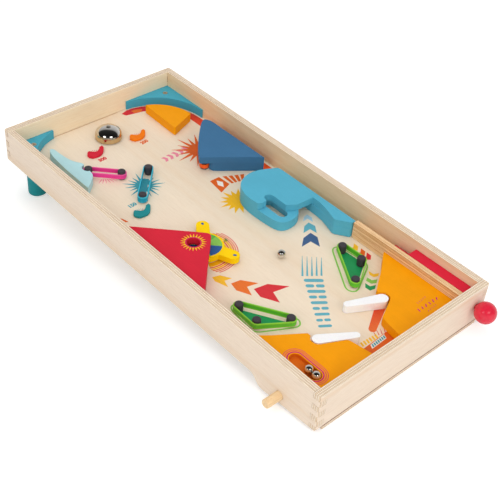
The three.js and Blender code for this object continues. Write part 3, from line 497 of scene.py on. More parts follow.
# The J of a score pocket, in shares of its solid's box
POCKET_SHARES = [
    (0.182, 0.942), (0.258, 0.932), (0.308, 0.812), (0.394, 0.654), (0.526, 0.565), (0.639, 0.639),
    (0.752, 0.780), (0.838, 0.953), (0.987, 1), (1, 0.764), (0.861, 0.44), (0.702, 0.152),
    (0.53, 0.016), (0.344, 0), (0.119, 0.084), (0.013, 0.33), (0, 0.581), (0.093, 0.806),
]


def soften(node, material, width=0.6, crisp=None, pick=None, cutter=None, shares=None):
    """A copy of a CAD piece with rounded edges. crisp(point) says where they are rounded less,
    pick gives each face its material, cutter is taken out, and shares draws another outline."""
    shaped = bmesh.new()
    if shares:
        low, high = tray_box(node)
        size = high - low
        points = [(low.x + size.x * x, low.y + size.y * y) for x, y in shares]
        add_prism(shaped, points, low.z, high.z)
    else:
        shaped.from_mesh(frame["nodes"][node].data)
    bmesh.ops.remove_doubles(shaped, verts=shaped.verts, dist=2e-6)
    flat = math.radians(0.6)
    bmesh.ops.dissolve_limit(shaped, angle_limit=flat, verts=shaped.verts, edges=shaped.edges)
    weights = shaped.edges.layers.float.new("bevel_weight_edge")
    for edge in shaped.edges:
        less = crisp and any(crisp(FROM_WORLD @ v.co) for v in edge.verts)
        if edge.calc_face_angle(0) > CREASE:
            edge[weights] = CRISP_SHARE if less else 1
    name = f"{node}_finish"
    mesh = mesh_of(shaped, name)
    piece = link(name, mesh)
    if cutter:
        cut = piece.modifiers.new("cut", "BOOLEAN")
        cut.object = cutter
        cut.solver = "EXACT"
    if width:
        bevel = piece.modifiers.new("bevel", "BEVEL")
        bevel.limit_method = "WEIGHT"
        bevel.width = width * MM
        bevel.segments = 3
        bevel.use_clamp_overlap = True
    weighted = piece.modifiers.new("normals", "WEIGHTED_NORMAL")
    weighted.keep_sharp = True
    sharp_edges(mesh, CREASE if width else math.radians(40))
    final = evaluated(piece)
    piece.modifiers.clear()
    piece.data = final
    bpy.data.meshes.remove(mesh)
    if cutter:
        bpy.data.objects.remove(cutter)
    final.materials.clear()
    if pick:
        kinds, choose = pick
        for kind in kinds:
            final.materials.append(MATERIAL[kind])
        turn = FROM_WORLD.to_3x3()
        for face in final.polygons:
            normal = (turn @ face.normal).normalized()
            face.material_index = choose(normal, FROM_WORLD @ face.center)
    else:
        final.materials.append(MATERIAL[material])
    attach(piece, BODY_OF[node])
    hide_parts(node)
    return piece


def fill_out(piece, share):
    """Stretch a band in height about its middle."""
    points = [FROM_WORLD @ v.co for v in piece.data.vertices]
    centre = (min(p.z for p in points) + max(p.z for p in points)) / 2
    for vertex, point in zip(piece.data.vertices, points):
        point.z = centre + (point.z - centre) * share
        vertex.co = TRAY @ point


def squeeze(spring):
    """Gives the spring a mesh of its own; its length stays as it is."""
    low, high = tray_box("plunger_spring")
    travel = max(abs(end) for end in joint("plunger_pull")["range_m"]) / MM
    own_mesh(spring)


# The case


def inset(point):
    """How far a point lies in from the nearer side's outer face, and from the nearer end's."""
    return HALF_WIDTH - abs(point.x), min(point.y, CASE_DEPTH - point.y)


def in_seam(point, normal):
    """Whether a face of a rounded edge lies in the groove between two walls' fingers."""
    corner_round, slack, rim = 6.5, 0.7, 1.5
    side, end = inset(point)
    on_round = abs(normal.z) < 0.2 and max(side, end) < corner_round
    near = max(side, end) < CASE_WALL + slack and point.z < LIP - rim
    return near and not on_round and max(abs(n) for n in normal) < 0.985


def near_corner(axis):
    """Whether a point of a wall lies among the fingers at one of its ends."""
    return lambda point: inset(point)[1 - axis] < CASE_WALL + 1


def wall_pick(axis, kind, edge):
    """The outer face, the cut edge, the inner face in painted light, or a crease in painted shade."""
    def choose(normal, point):
        # Faces in the creases between fingers get painted shade
        if in_seam(point, normal):
            return 3
        if abs(normal[axis]) < 0.7:
            return 1
        return 2 if inset(point)[axis] > CASE_WALL / 2 and point.z > 0 else 0

    return [f"{kind}_face", edge, f"inner_{kind}", "groove"], choose


def panel_pick():
    return ["end_face", "panel_edge"], lambda normal, point: 0 if abs(normal.z) > 0.7 else 1


def hollow_pick(top):
    """The floor and the sides of the ball tray are in shade."""
    beside, beyond, rim = HOLLOW_RADIUS + 0.4, HOLLOW_RADIUS + 1.5, 0.9

    def choose(normal, point):
        inside = abs(point.x - HOLLOW[0][0]) < beside
        inside = inside and HOLLOW[0][1] - beyond < point.y < HOLLOW[1][1] + beyond
        return 1 if inside and point.z < top - rim else 0

    return ["orange", "hollow"], choose


def add_seam():
    """A dark strip deep in the gap between the front wall and the bottom panel's edge: painted shadow."""
    top = tray_box("bottom_panel")[1].z
    reach = HALF_WIDTH - CASE_WALL
    near, far, below, above = 0.06, 2.0, 0.25, 0.85
    outline = [(-reach, near), (reach, near), (reach, far), (-reach, far)]
    mesh = prism("front_seam", outline, top - below, top + above, "seam")
    link_piece("front_seam", mesh, "case", "birch_ply")


def add_case():
    walls = (("left", 0, "side"), ("right", 0, "side"), ("front", 1, "end"), ("back", 1, "end"))
    for name, axis, kind in walls:
        pick = wall_pick(axis, kind, f"{name}_edge")
        soften(f"{name}_wall", None, 0.9, near_corner(axis), pick)
    soften("bottom_panel", None, 0.5, pick=panel_pick())
    add_seam()
    soften("playfield_board", "field", 0)
    soften("panel_batten", "beech", 0.5)
    for side in ("left", "right"):
        soften(f"{side}_foot", "teal", 0.9)


# What stands on the board


def screw_cutter(node):
    """A cross-shaped punch for the recess in a countersunk head."""
    centre, top = middle(node), tray_box(node)[1].z
    half_long, half_wide, depth, over, turn = 1.7, 0.4, 1.2, 1.0, 25
    corners = ((half_long, half_wide), (half_wide, half_wide), (half_wide, half_long))
    points = []
    for quarter in range(4):
        right, back = heading(turn + 90 * quarter), heading(turn + 90 * quarter + 90)
        points += [tuple(centre.xy + right * x + back * y) for x, y in corners]
    return link("screw_cutter", prism("screw_cutter", points, top - depth, top + over))


def slot_cutter():
    """A slanted punch that opens the loop's slot towards the board, away from the viewer."""
    top, bottom, lean = 14.6, 0.1, Vector(VIEWER) * -8
    points = arc(SLOT_ENDS[1], SLOT_RADIUS, 0, 180, 12)
    points += arc(SLOT_ENDS[0], SLOT_RADIUS, 180, 360, 12)
    return link("slot_cutter", prism("slot_cutter", points, bottom, top, lean=lean))


def add_ball(node):
    """A polished ball, far finer than its CAD solid, of the same size and place."""
    low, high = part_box(node)
    shaped = bmesh.new()
    bmesh.ops.create_icosphere(shaped, subdivisions=5, radius=(high - low).x / 2)
    bmesh.ops.translate(shaped, verts=shaped.verts, vec=(low + high) / 2)
    mesh = mesh_of(shaped, f"{node}_finish", "chrome")
    mesh.shade_smooth()
    piece = link_piece(f"{node}_finish", mesh, BODY_OF[node], "bright_steel")
    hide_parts(node)


def add_bell():
    """The bell's thin shell, turned as one smooth dome with an upright skirt."""
    low, high = tray_box("bell_shell")
    centre = (low + high) / 2
    radius, wall, hole = (high - low).x / 2, 1.0, 2.5
    shoulder, swell, steps, turns = low.z + 4.5, 2.2, 28, 128

    def dome(reach, height):
        rows = []
        for i in range(steps + 1):
            across = hole + (reach - hole) * math.sin(math.pi / 2 * i / steps)
            rise = max(0.0, 1 - (across / reach) ** swell) ** 0.5
            rows.append((across, shoulder + height * rise))
        return rows

    outside = dome(radius, high.z - shoulder)
    inside = dome(radius - wall, high.z - shoulder - wall)
    profile = outside + [(radius, low.z), (radius - wall, low.z)] + inside[::-1]
    shaped = bmesh.new()
    rings = []
    for i in range(turns):
        toward = heading(360 * i / turns)
        rings.append([
            shaped.verts.new(tray(centre.x + r * toward.x, centre.y + r * toward.y, z))
            for r, z in profile
        ])
    join_rows(shaped, rings, closed=True)
    bmesh.ops.recalc_face_normals(shaped, faces=shaped.faces)
    mesh = mesh_of(shaped, "bell_shell_finish", "bell")
    sharp_edges(mesh, math.radians(50))
    piece = link_piece("bell_shell_finish", mesh, "case", "bright_steel")
    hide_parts("bell_shell")


def add_pair(side):
    """The pieces that are on both sides of the game."""
    soften(f"{side}_corner_block", "corner", 0.7)
    screw = f"{side}_corner_screw"
    soften(screw, "steel", 0.15, cutter=screw_cutter(screw))
    pick = hollow_pick(tray_box("left_apron")[1].z) if side == "left" else None
    soften(f"{side}_apron", "orange", 0.7, pick=pick)
    soften(f"{side}_flipper", "white", 1.1)
    soften(f"{side}_flipper_lever", "beech", 0.4)
    soften(f"{side}_button", "beech", 0.3)
    fill_out(soften(f"{side}_triangle_band", "green_band", 0.3), 1.25)
    for end in ("back", "side", "front"):
        soften(f"{side}_triangle_{end}_post", "post", 0.7)


def add_fittings():
    for side in ("left", "right"):
        add_pair(side)
    soften("orange_wedge", "orange", 0.8)
    soften("blue_deflector", "blue", 0.9)
    soften("tunnel_loop", "turquoise", 0.9, cutter=slot_cutter())
    for part in ("tail", "roof"):
        soften(f"tunnel_{part}", "turquoise", 0.9)
    soften("lane_divider", "pine", 0.7)
    soften("score_block", "red", 0.7)
    soften("side_guide", "pale_blue", 0.7)
    for color, material in (("red", "red"), ("orange", "pocket"), ("teal", "teal")):
        node = f"{color}_score_pocket"
        soften(node, material, 0.5, shares=POCKET_SHARES)
    soften("spinner", "yellow", 0.6)
    soften("spinner_pin", "steel", 0.3)
    add_bell()
    soften("bell_post", "steel", 0.2)
    for name in ("pink_band_left", "pink_band_right", "cyan_band_back", "cyan_band_front"):
        soften(f"{name}_post", "post", 0.7)
    for name in ("deflector_front", "deflector_back"):
        soften(f"{name}_post", "post", 0.4)
    fill_out(soften("pink_band", "pink_band", 0.3), 1.1)
    fill_out(soften("cyan_band", "cyan_band", 0.3), 1.35)
    soften("deflector_band", "orange_band", 0.3)
    soften("plunger_block", "launcher", 0.8)
    soften("plunger_rod", "launcher", 0.4)
    soften("plunger_knob", "plunger", 0.4)
    squeeze(soften("plunger_spring", "steel", 0))
    for node in ("ball_in_play", "tray_ball_front", "tray_ball_back"):
        add_ball(node)


# Prints: thin closed shapes of ink on a flat face

INK = 0.05
SINK = 0.04
LEAST_COSINE = 0.5  # at a bend, below which a stroke gets no wider
INK_COLORS = {
    "yellow": (252, 196, 42), "sun": (250, 188, 10), "orange": (240, 118, 40),
    "deep_orange": (232, 100, 20), "red": (222, 45, 55), "magenta": (214, 30, 110),
    "rose": (232, 84, 84), "pink": (240, 138, 160), "pale_blue": (178, 212, 226),
    "sky": (100, 178, 194), "teal": (60, 164, 178), "dark_blue": (66, 98, 142),
    "navy": (34, 92, 160), "green": (34, 160, 92), "light_green": (140, 204, 84),
    "mid_green": (92, 186, 70), "white": (250, 244, 234), "shadow": (150, 110, 74),
    # Painted shade: the first colour below, for the line where the board meets the back wall
    "crease_shade_line": (214, 170, 124), "window_sun": (250, 205, 0),
}
INKS = {name: ink(f"ink_{name}", color) for name, color in INK_COLORS.items()}
INKS["arrow"] = ink("ink_arrow", (240, 84, 24), (218, 32, 44), (470, 560))
INKS["flipper"] = ink("ink_flipper", (226, 66, 30), (238, 112, 48), (76, 56))


class Print:
    """Printed shapes on one flat face, one material for each ink; a higher layer covers a lower."""

    def __init__(self, name, height, body="case", slot="playfield"):
        self.name = name
        self.height = height
        self.body = body
        self.slot = slot
        self.shaped = bmesh.new()
        self.inks = []

    def index(self, material):
        if material not in self.inks:
            self.inks.append(material)
        return self.inks.index(material)

    def reach(self, layer):
        """The heights between which a layer's ink lies."""
        return self.height - SINK, self.height + INK * (1 + layer)

    def patch(self, material, points, layer=0):
        add_prism(self.shaped, list(points), *self.reach(layer), self.index(material))

    def strip(self, material, pairs, closed=False, layer=0):
        """A band between two rows of points."""
        bottom, top = self.reach(layer)
        rows = []
        for left, right in pairs:
            corners = ((left, bottom), (right, bottom), (right, top), (left, top))
            rows.append([self.shaped.verts.new(tray(*point, z)) for point, z in corners])
        faces = join_rows(self.shaped, rows, closed)
        if not closed:
            faces.append(self.shaped.faces.new(rows[0][::-1]))
            faces.append(self.shaped.faces.new(rows[-1]))
        for face in faces:
            face.material_index = self.index(material)

    def line(self, material, points, width, end_width=None, closed=False, layer=0):
        """A stroke along a path, mitred at its bends; its width may change along the way."""
        if end_width is None:
            end_width = width
        pairs = []
        count = len(points)
        for i, point in enumerate(points):
            here = Vector(point)
            before = here - Vector(points[i - 1] if closed or i else point)
            after = Vector(points[(i + 1) % count] if closed or i + 1 < count else point) - here
            one = (before if before.length else after).normalized()
            two = (after if after.length else before).normalized()
            along = (one + two).normalized()
            normal = Vector((-along.y, along.x))
            wide = width + (end_width - width) * i / max(1, count - 1)
            reach = wide / 2 / max(LEAST_COSINE, along.dot(one))
            pairs.append((here + normal * reach, here - normal * reach))
        self.strip(material, pairs, closed, layer)

    def ray(self, material, centre, degrees, near, far, width, tip, layer=0):
        """A tapering stroke that points away from a centre."""
        toward = heading(degrees)
        ends = [centre + toward * near, centre + toward * far]
        self.line(material, ends, width, tip, layer=layer)

    def bars(self, material, top, foot, count, first, pitch, share):
        """Bars side by side between two rows, each given by its ends."""
        for i in range(count):
            near = first + pitch * i
            far = near + share
            corners = ((top, near), (top, far), (foot, far), (foot, near))
            self.patch(material, [Vector(row[0]).lerp(Vector(row[1]), at) for row, at in corners])

    def text(self, material, body, centre, size, turn):
        """Plain figures, in the built-in typeface."""
        boldness = 0.45
        bottom, top = self.reach(0)
        curve = bpy.data.curves.new("figures", "FONT")
        curve.body = body
        curve.size = size
        curve.extrude = (top - bottom) / 2
        curve.offset = boldness
        curve.align_x = "CENTER"
        curve.align_y = "CENTER"
        holder = link("figures", curve)
        mesh = evaluated(holder)
        spin = Matrix.Rotation(math.radians(turn), 4, "Z")
        mesh.transform(TRAY @ Matrix.Translation((*centre, (top + bottom) / 2)) @ spin)
        faces = self.shaped.faces
        first = len(faces)
        self.shaped.from_mesh(mesh)
        faces.ensure_lookup_table()
        for face in faces[first:]:
            face.material_index = self.index(material)
        bpy.data.objects.remove(holder)
        bpy.data.curves.remove(curve)
        bpy.data.meshes.remove(mesh)

    def make(self):
        shaped = self.shaped
        bmesh.ops.remove_doubles(shaped, verts=shaped.verts, dist=1e-7)
        bmesh.ops.recalc_face_normals(shaped, faces=shaped.faces)
        bmesh.ops.triangulate(shaped, faces=[f for f in shaped.faces if len(f.verts) > 4])
        mesh = mesh_of(shaped, self.name)
        for name in self.inks:
            mesh.materials.append(INKS[name])
        link_piece(self.name, mesh, self.body, self.slot)


def mirrored(points):
    return [(2 * MIRROR_X - x, y) for x, y in points]


def rounded(points, radius, steps=5):
    """An outline whose corners are rounded by quadratic curves."""
    most = 0.45  # of an edge that a curve may take up
    result = []
    count = len(points)
    for i, point in enumerate(points):
        corner = Vector(point)
        before = Vector(points[i - 1]) - corner
        after = Vector(points[(i + 1) % count]) - corner
        start = corner + before.normalized() * min(radius, before.length * most)
        end = corner + after.normalized() * min(radius, after.length * most)
        for k in range(steps + 1):
            share = k / steps
            place = start * (1 - share) ** 2 + corner * 2 * share * (1 - share) + end * share**2
            result.append(tuple(place))
    return result


def burst(centre, outer, inner, rays, turn, squash):
    """A starburst, a little flattened, whose rays differ in length."""
    points = []
    for i in range(rays):
        uneven = 1.0 - 0.16 * (0.5 + 0.5 * math.sin(2.4 * i + 1))
        for part, reach in ((0, outer * uneven), (0.5, inner)):
            toward = heading(turn + 360 * (i + part) / rays)
            points.append((centre[0] + reach * toward.x, centre[1] + reach * squash * toward.y))
    return points


def pill(centre, length, width, turn, steps=8):
    """A bar with round ends."""
    reach = heading(turn) * ((length - width) / 2)
    front = arc(Vector(centre) + reach, width / 2, turn - 90, turn + 90, steps)
    return front + arc(Vector(centre) - reach, width / 2, turn + 90, turn + 270, steps)


def print_arch(field):
    """The curved arrow along the top and down the right channel."""
    centre, inner, outer, foot = (47.5, 508.5), 65.5, 78.5, 352.0
    band = list(zip(arc(centre, inner, 84, 0, 30), arc(centre, outer, 84, 0, 30)))
    band.append(((centre[0] + inner, foot), (centre[0] + outer, foot)))
    field.strip("arrow", band)
    head = [(40.7, 582.8), (52.3, 586.6), (79.2, 578), (72.8, 569.6), (43.4, 575.8)]
    field.patch("red", head, 1)
    spot = [(56.2, 581.6), (64.4, 580.2), (73.1, 576.2), (66.8, 571.1), (57, 574.4)]
    field.patch("orange", spot, 2)


def print_bursts(field):
    """Two bursts, a row of arrowheads, and a tile with a diamond and bars beside it."""
    centre = Vector((73, 447))
    field.patch("deep_orange", arc(centre, 13.5, 0, 350, 35))
    for i in range(13):
        field.ray("deep_orange", centre, 60 + i * 21, 11, 38 - 7 * (i % 2), 6, 0.5, 1)
    field.patch("sun", burst((41, 327), 29, 15, 15, 4, 0.95))
    for i in range(5):
        x, y, reach = 18.5 + i * 9.2, 457.2 + i * 0.4, 5.4 + i * 0.35
        field.patch("pink", [
            (x, y - reach), (x + 4.8, y - reach), (x + 7.6, y),
            (x + 4.8, y + reach), (x, y + reach), (x + 2.8, y),
        ])
    field.patch("deep_orange", [(38.5, 382.3), (54.3, 382.3), (55.4, 361.9), (34.6, 354.1)])
    field.patch("white", [(45, 361.5), (41.5, 369.5), (46.5, 378), (51, 370.5)], 1)
    top, foot = ((55.5, 382), (87, 366.5)), ((56.5, 361.5), (78, 356.5))
    field.bars("deep_orange", top, foot, 4, 0.1, 0.235, 0.16)


# The bent arrowheads that lead up the channels, and those in a row above the right flipper
LEADING = (
    ("pale_blue", (93, 252), (93.6, 243.8), (88.2, 236.3), (87.7, 245.6), (78.9, 244.6), (86.2, 250.6)),
    ("sky", (83, 238.9), (84.9, 228.8), (76.5, 217.4), (74.9, 228.1), (62.9, 227.7), (73.1, 236.8)),
    ("dark_blue", (70.3, 222.5), (71.3, 210.9), (60.5, 195.6), (58.4, 210.1), (42.2, 209.6), (55.9, 220.6)),
    ("yellow", (-83, 234.8), (-73.3, 231.6), (-65.4, 218.8), (-75.4, 220.9), (-79.2, 209.8), (-85, 227.4)),
    ("orange", (-72.4, 212.6), (-59.3, 210.3), (-46, 193), (-61.1, 196.7), (-66.5, 181.9), (-75.3, 200)),
    ("red", (-57.3, 188.9), (-38.5, 185.4), (-20.4, 166.4), (-42.8, 170.8), (-48.8, 152.8), (-60.3, 173.9)),
)
LOW_ROW = (
    ("yellow", (75.7, 127), (76.5, 119.4), (83.1, 116.4), (78.7, 113.2), (72.3, 115.2), (71.6, 121.5)),
    ("light_green", (65.7, 119.8), (66.5, 112.9), (73.2, 109.8), (67.2, 106), (61.2, 109.1), (60.3, 116.9)),
    ("green", (56.2, 114.4), (56.7, 107), (64.2, 104.1), (58.3, 100.3), (51, 101.7), (50.5, 109)),
)


def print_chevrons(field):
    for name, *points in LEADING:
        field.patch(name, points)
    for name, x, y in (("yellow", 93.2, 161.7), ("deep_orange", 93.2, 149.5), ("red", 93.3, 139.7)):
        field.patch(name, [
            (x, y), (x + 6.5, y + 5), (x + 6.5, y + 12.5),
            (x, y + 7.5), (x - 6.5, y + 12.5), (x - 6.5, y + 5),
        ])
    for name, *points in LOW_ROW:
        field.patch(name, points)


def print_trail(field):
    """Five tapering lines, then rows of one bar and of two bars in turn that grow shorter."""
    for i in range(5):
        share = i / 4
        top = (30.3 + 17.1 * share, 196.7 - 16.7 * share)
        foot = (4.6 + 18.8 * share, 169.8 - 13.6 * share)
        field.line("sky", [top, foot], 0.5, 2.6)
    rows = 9
    for i in range(rows):
        share = i / (rows - 1)
        near = Vector((0.5 - 41.5 * share, 163.5 - 66.0 * share))
        far = Vector((19.5 - 47.0 * share, 148.5 - 60.0 * share))
        spread = far - near
        turn = math.degrees(math.atan2(spread.y, spread.x))
        for at, length in ((0.23, 0.46), (0.77, 0.46)) if i % 2 else ((0.5, 1),):
            spot = near + spread * at
            field.patch("sky", pill(spot, spread.length * length, 5.6 - 1.4 * share, turn))


def print_triangles(field):
    """The filled shape inside each green band, and the line round its posts."""
    path = rounded([(70, 184.5), (28.5, 119.5), (36.5, 109.2), (84.8, 135), (80.5, 181.8)], 9)
    corners = [(72.5, 172.5), (79.8, 168), (81.2, 139), (63, 128.4), (44.5, 117.2), (42, 121.5)]
    filled = rounded(corners, 1.5)
    for points in (filled, mirrored(filled)):
        field.patch("green", points)
    for points in (path, mirrored(path)):
        field.line("light_green", points, 2, closed=True)


def print_flipper_marks(field):
    """The shape of each flipper, drawn on the board where it swings."""
    pivot, tip = (43, 76.5), (5, 55.5)
    turn = math.degrees(math.atan2(tip[1] - pivot[1], tip[0] - pivot[0]))
    points = arc(tip, 4.6, turn - 90, turn + 90, 12) + arc(pivot, 6.5, turn + 90, turn + 270, 12)
    field.patch("flipper", points)
    field.patch("flipper", mirrored(points))


def print_rays(field):
    """Rays round the cyan posts, dashes inside the pink band and a few rays beside it."""
    centre = Vector((-37.8, 427.05))
    turn = math.degrees(math.atan2(43.5, 42.7))
    for i in range(18):
        angle = 10 + 20 * i
        if abs(heading(angle).x) < 0.93:
            reach = 25 + 3.5 * math.sin(1.9 * i)
            field.ray("teal", centre, turn + angle, 6, reach, 5, 0.3, i % 2)
    along = heading(turn)
    field.line("teal", [centre - along * 17, centre + along * 15], 10, layer=2)
    left, right = Vector((-82.5, 489.1)), Vector((-51.3, 457.8))
    slant = (right - left).normalized()
    across = Vector((-slant.y, slant.x)) * 1.9
    for i in range(8):
        spot = left.lerp(right, 0.18 + i * 0.092)
        field.line("shadow", [spot - across, spot + across], 1.5)
    for i in range(7):
        start = Vector((-74.5 + i * 2.2, 470.5 - i * 1.2))
        field.ray("pink", start, -150 + i * 17, 0, 9.5, 1.6, 0.4)


def print_figures(field):
    """Plain scores by the pockets, short rays above each, a painted shade line at the back and two marks."""
    field.text("red", "300", (-47, 507.2), 8.2, 3)
    field.text("deep_orange", "200", (23.8, 507), 8, 6)
    field.text("teal", "150", (-75.4, 402.2), 8.2, 4)
    mark = [(-80.5, 385.2), (-75, 387.6), (-69, 386.4), (-70.5, 382), (-77, 381)]
    field.patch("orange", mark)
    for name, x, y in (("red", -47.4, 522.3), ("orange", 23.2, 521.3), ("sky", -75.1, 381.3)):
        for i in range(7):
            field.ray(name, Vector((x, y)), 50 + i * 15, 7.5, 10.7, 0.9, 0.4)
    # Painted shade: a thin brown line where the board meets the back wall
    field.line("crease_shade_line", [(-129, 589.5), (38, 589.5)], 0.8)
    mark = [(-103.2, 390.6), (-100.4, 383), (-99.4, 377.9), (-102.9, 379.7), (-103.8, 385.5)]
    field.patch("deep_orange", mark)


def print_drain(field):
    """Bars, a pale label with marks and rays where the balls leave the field."""
    top, foot = ((-23.1, 49.6), (3.6, 48)), ((-24.8, 43.3), (1.8, 41.9))
    field.bars("yellow", top, foot, 6, 0.02, 1 / 6, 0.1)
    rays = (
        ((0.46, 46.2), (3.7, 53.4)), ((4.24, 44.38), (8.2, 52.3)), ((8.02, 43.04), (12.7, 50.6)),
        ((12.2, 41.94), (17.6, 49.5)), ((16.2, 40.72), (22.5, 48.1)),
    )
    for ends in rays:
        field.line("red", ends, 1.1, 0.4)
    label = [(-25.1, 40.9), (16.3, 42.9), (22, 41), (14, 27), (-24, 27)]
    field.patch("deep_orange", label)
    field.patch("white", [(-15.3, 40.2), (9.7, 41.9), (7.1, 35.8), (-18.1, 34.6)], 1)
    for i in range(7):
        field.patch("teal", pill((-13.6 + i * 3.35, 37.6 + i * 0.19), 4.8, 2.1, 68), 2)


def print_spinner_field(field):
    """Arcs on the board round the spinner, and a small mark."""
    centre = middle("spinner_pin")
    arcs = (
        ("sun", 25.6, 7.2, -118, 46), ("deep_orange", 30.8, 1.8, -118, 44),
        ("sun", 33.6, 2.4, -116, 40), ("deep_orange", 36.4, 1.6, -114, 34),
        ("deep_orange", 39, 1.3, -110, 28), ("red", 41.6, 1.1, -104, 20),
    )
    for name, radius, width, start, end in arcs:
        field.line(name, arc(centre, radius, start, end, 36), width)
    field.patch("green", [(-29.5, 275.6), (-22.6, 280.2), (-22.8, 273.8)])


def print_field():
    field = Print("field_print", 0)
    parts = (
        print_arch, print_bursts, print_chevrons, print_trail, print_triangles,
        print_flipper_marks, print_rays, print_figures, print_drain, print_spinner_field,
    )
    for draw in parts:
        draw(field)
    field.make()


def print_score_block():
    """Rays and a thin ring round the score block's window."""
    printed = Print("window_print", tray_box("score_block")[1].z, slot="red_paint")
    centre = Vector((-78.5, 276.4))
    printed.line("magenta", arc(centre, 9.2, 0, 345, 23), 0.8, closed=True)
    rays = 22
    for i in range(rays):
        printed.ray("window_sun", centre, 360 * i / rays, 10.2, 15.8, 2.2, 0.3)
    printed.make()


def print_spinner():
    """Three tones round the hub and a dot on each lobe."""
    centre = middle("spinner_pin").xy
    printed = Print("spinner_print", tray_box("spinner")[1].z, "spinner", "yellow_paint")
    segments = (
        ("mid_green", 10, 60), ("light_green", -45, 10), ("navy", -110, -45),
        ("mid_green", -145, -110), ("navy", 145, 215), ("light_green", 60, 145),
    )
    for name, start, end in segments:
        pairs = list(zip(arc(centre, 4.5, start, end, 14), arc(centre, 21.5, start, end, 14)))
        printed.strip(name, pairs)
    for angle in (54, 174, 294):
        printed.patch("navy", pill(centre + heading(angle) * 40.5, 4.6, 3.4, angle + 20))
    printed.make()


def print_aprons():
    """Rings round the ball tray, and a row of marks with rays above and below on the right apron."""
    printed = Print("apron_print", tray_box("left_apron")[1].z, slot="orange_paint")
    for name, gap, width in (("magenta", 2, 1.7), ("rose", 4.5, 1.1), ("rose", 6.8, 1)):
        radius = HOLLOW_RADIUS + gap
        points = arc(HOLLOW[1], radius, 0, 180, 18) + arc(HOLLOW[0], radius, 180, 360, 18)
        printed.line(name, points, width, closed=True)
    for i in range(6):
        length, turn = 5.4 - 0.9 * (i % 2), 82 - 16 * (i % 3)
        printed.patch("magenta", pill((60.5 + i * 6.4, 36), length, 1.6, turn))
    for i in range(5):
        for x, y, angle, swing in ((69.3, 43.6, 120, -12), (69.4, 29.4, 240, 12)):
            start = Vector((x + 3.4 * i, y + 0.35 * i))
            printed.ray("magenta", start, angle + swing * i, 0, 2.8, 0.9, 0.4)
    printed.make()


# Camera, lights and floor

LENS_PIXELS = 985.717
PHOTO_PIXELS = 500
SENSOR = 36.0
CAMERA_PLACE = (-672.873, -406.455, 751.840 + LIP)
CAMERA_RIGHT = (0.7416344, -0.6671806, 0.0696309)
CAMERA_FORWARD = (0.5423309, 0.5352662, -0.6475858)
SOFT_LIGHT = 0.62
FLOOR_WHITE = 0.3
FLOOR_COLOR = (0.93, 0.93, 0.93, 1)
WHITE = (1, 1, 1, 1)
# How bright the room is that polished metal mirrors, by the angle in degrees up from the level on
# the viewer's side, over the top and down to the far side
STUDIO = (
    (0, 0.7), (15, 0.6), (21, 0.04), (55, 0.01), (92, 0.02), (112, 0.04),
    (124, 0.45), (150, 0.7), (180, 0.9),
)
# Name, place and diameter in metres, power in watts, and whether metal mirrors the lamp
LIGHTS = (
    ("left_softbox", (-1.87, -0.36, 1.46), 0.9, 5, True),
    ("right_softbox", (-0.38, -1.87, 1.46), 0.9, 5, True),
    ("viewer_fill", (-1.7, -1.3, 1.5), 2.0, 12, False),
    ("front_fill", (0.2, -2.2, 1.0), 1.5, 7, False),
    ("ceiling", (0.1, 0.3, 2.2), 1.6, 8, False),
)
LIT_POINT = Vector((0, 0, 0.05))


def add_camera():
    data = bpy.data.cameras.new("camera")
    data.sensor_width = SENSOR
    data.lens = LENS_PIXELS / PHOTO_PIXELS * SENSOR
    data.clip_start = 0.01
    data.clip_end = 50
    camera = link("camera", data)
    turn = TRAY.to_3x3() * (1 / MM)
    right = (turn @ Vector(CAMERA_RIGHT)).normalized()
    back = -(turn @ Vector(CAMERA_FORWARD)).normalized()
    up = back.cross(right)
    basis = Matrix((right, up, back)).transposed().to_4x4()
    camera.matrix_world = Matrix.Translation(tray(*CAMERA_PLACE)) @ basis
    bpy.context.scene.camera = camera


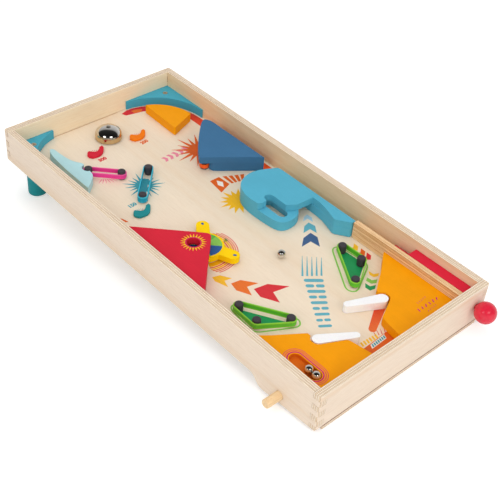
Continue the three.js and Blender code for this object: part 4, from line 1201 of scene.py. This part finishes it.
def add_area_light(name, place, size, power, mirrors):
    data = bpy.data.lights.new(name, "AREA")
    data.shape = "DISK"
    data.size = size
    data.energy = power
    lamp = link(name, data)
    lamp.location = place
    lamp.rotation_mode = "QUATERNION"
    lamp.rotation_quaternion = (LIT_POINT - Vector(place)).to_track_quat("-Z", "Y")
    lamp.visible_glossy = mirrors


def add_world():
    """Soft light all round; polished metal sees a dark front half and a bright back half."""
    world = bpy.data.worlds.new("studio")
    bpy.context.scene.world = world
    world.use_nodes = True
    world.node_tree.nodes.clear()
    room = Nodes(world.node_tree)

    def glow(color, strength=1.0):
        inputs = {"Color": color, "Strength": strength}
        return room.node("Background", inputs).outputs[0]

    def either(share, first, second):
        return room.node("MixShader", {0: share, 1: first, 2: second}).outputs[0]

    path = room.node("LightPath").outputs
    direction = room.node("TexCoord").outputs["Generated"]
    inputs = {0: direction, 1: (*VIEWER, 0)}
    level = room.node("VectorMath", inputs, operation="DOT_PRODUCT").outputs["Value"]
    rise = room.math("ARCTAN2", room.axis(direction, "Z"), level)
    stops = [(degrees / 180, (light, light, light, 1)) for degrees, light in STUDIO]
    studio = room.levels(room.fade(rise, 0, math.pi), stops)
    around = either(path["Is Glossy Ray"], glow(WHITE, SOFT_LIGHT), glow(studio))
    seen = room.math("MAXIMUM", path["Is Camera Ray"], path["Is Transmission Ray"])
    room.node("OutputWorld", {"Surface": either(seen, around, glow(WHITE))})


def add_floor():
    reach = 6.0
    corners = [(-reach, -reach, 0), (reach, -reach, 0), (reach, reach, 0), (-reach, reach, 0)]
    mesh = bpy.data.meshes.new("floor")
    mesh.from_pydata(corners, [], [(0, 1, 2, 3)])
    finish = Finish("floor", 0.9, specular=0.1)
    finish.set("Emission Color", WHITE)
    seen = finish.node("LightPath").outputs["Is Camera Ray"]
    finish.set("Emission Strength", finish.math("MULTIPLY", seen, FLOOR_WHITE))
    mesh.materials.append(finish.done(FLOOR_COLOR))
    floor = link("floor", mesh)


bpy.context.scene.view_settings.view_transform = "Standard"
add_camera()
add_world()
add_floor()
for light in LIGHTS:
    add_area_light(*light)
add_case()
add_fittings()
print_field()
print_score_block()
print_spinner()
print_aprons()
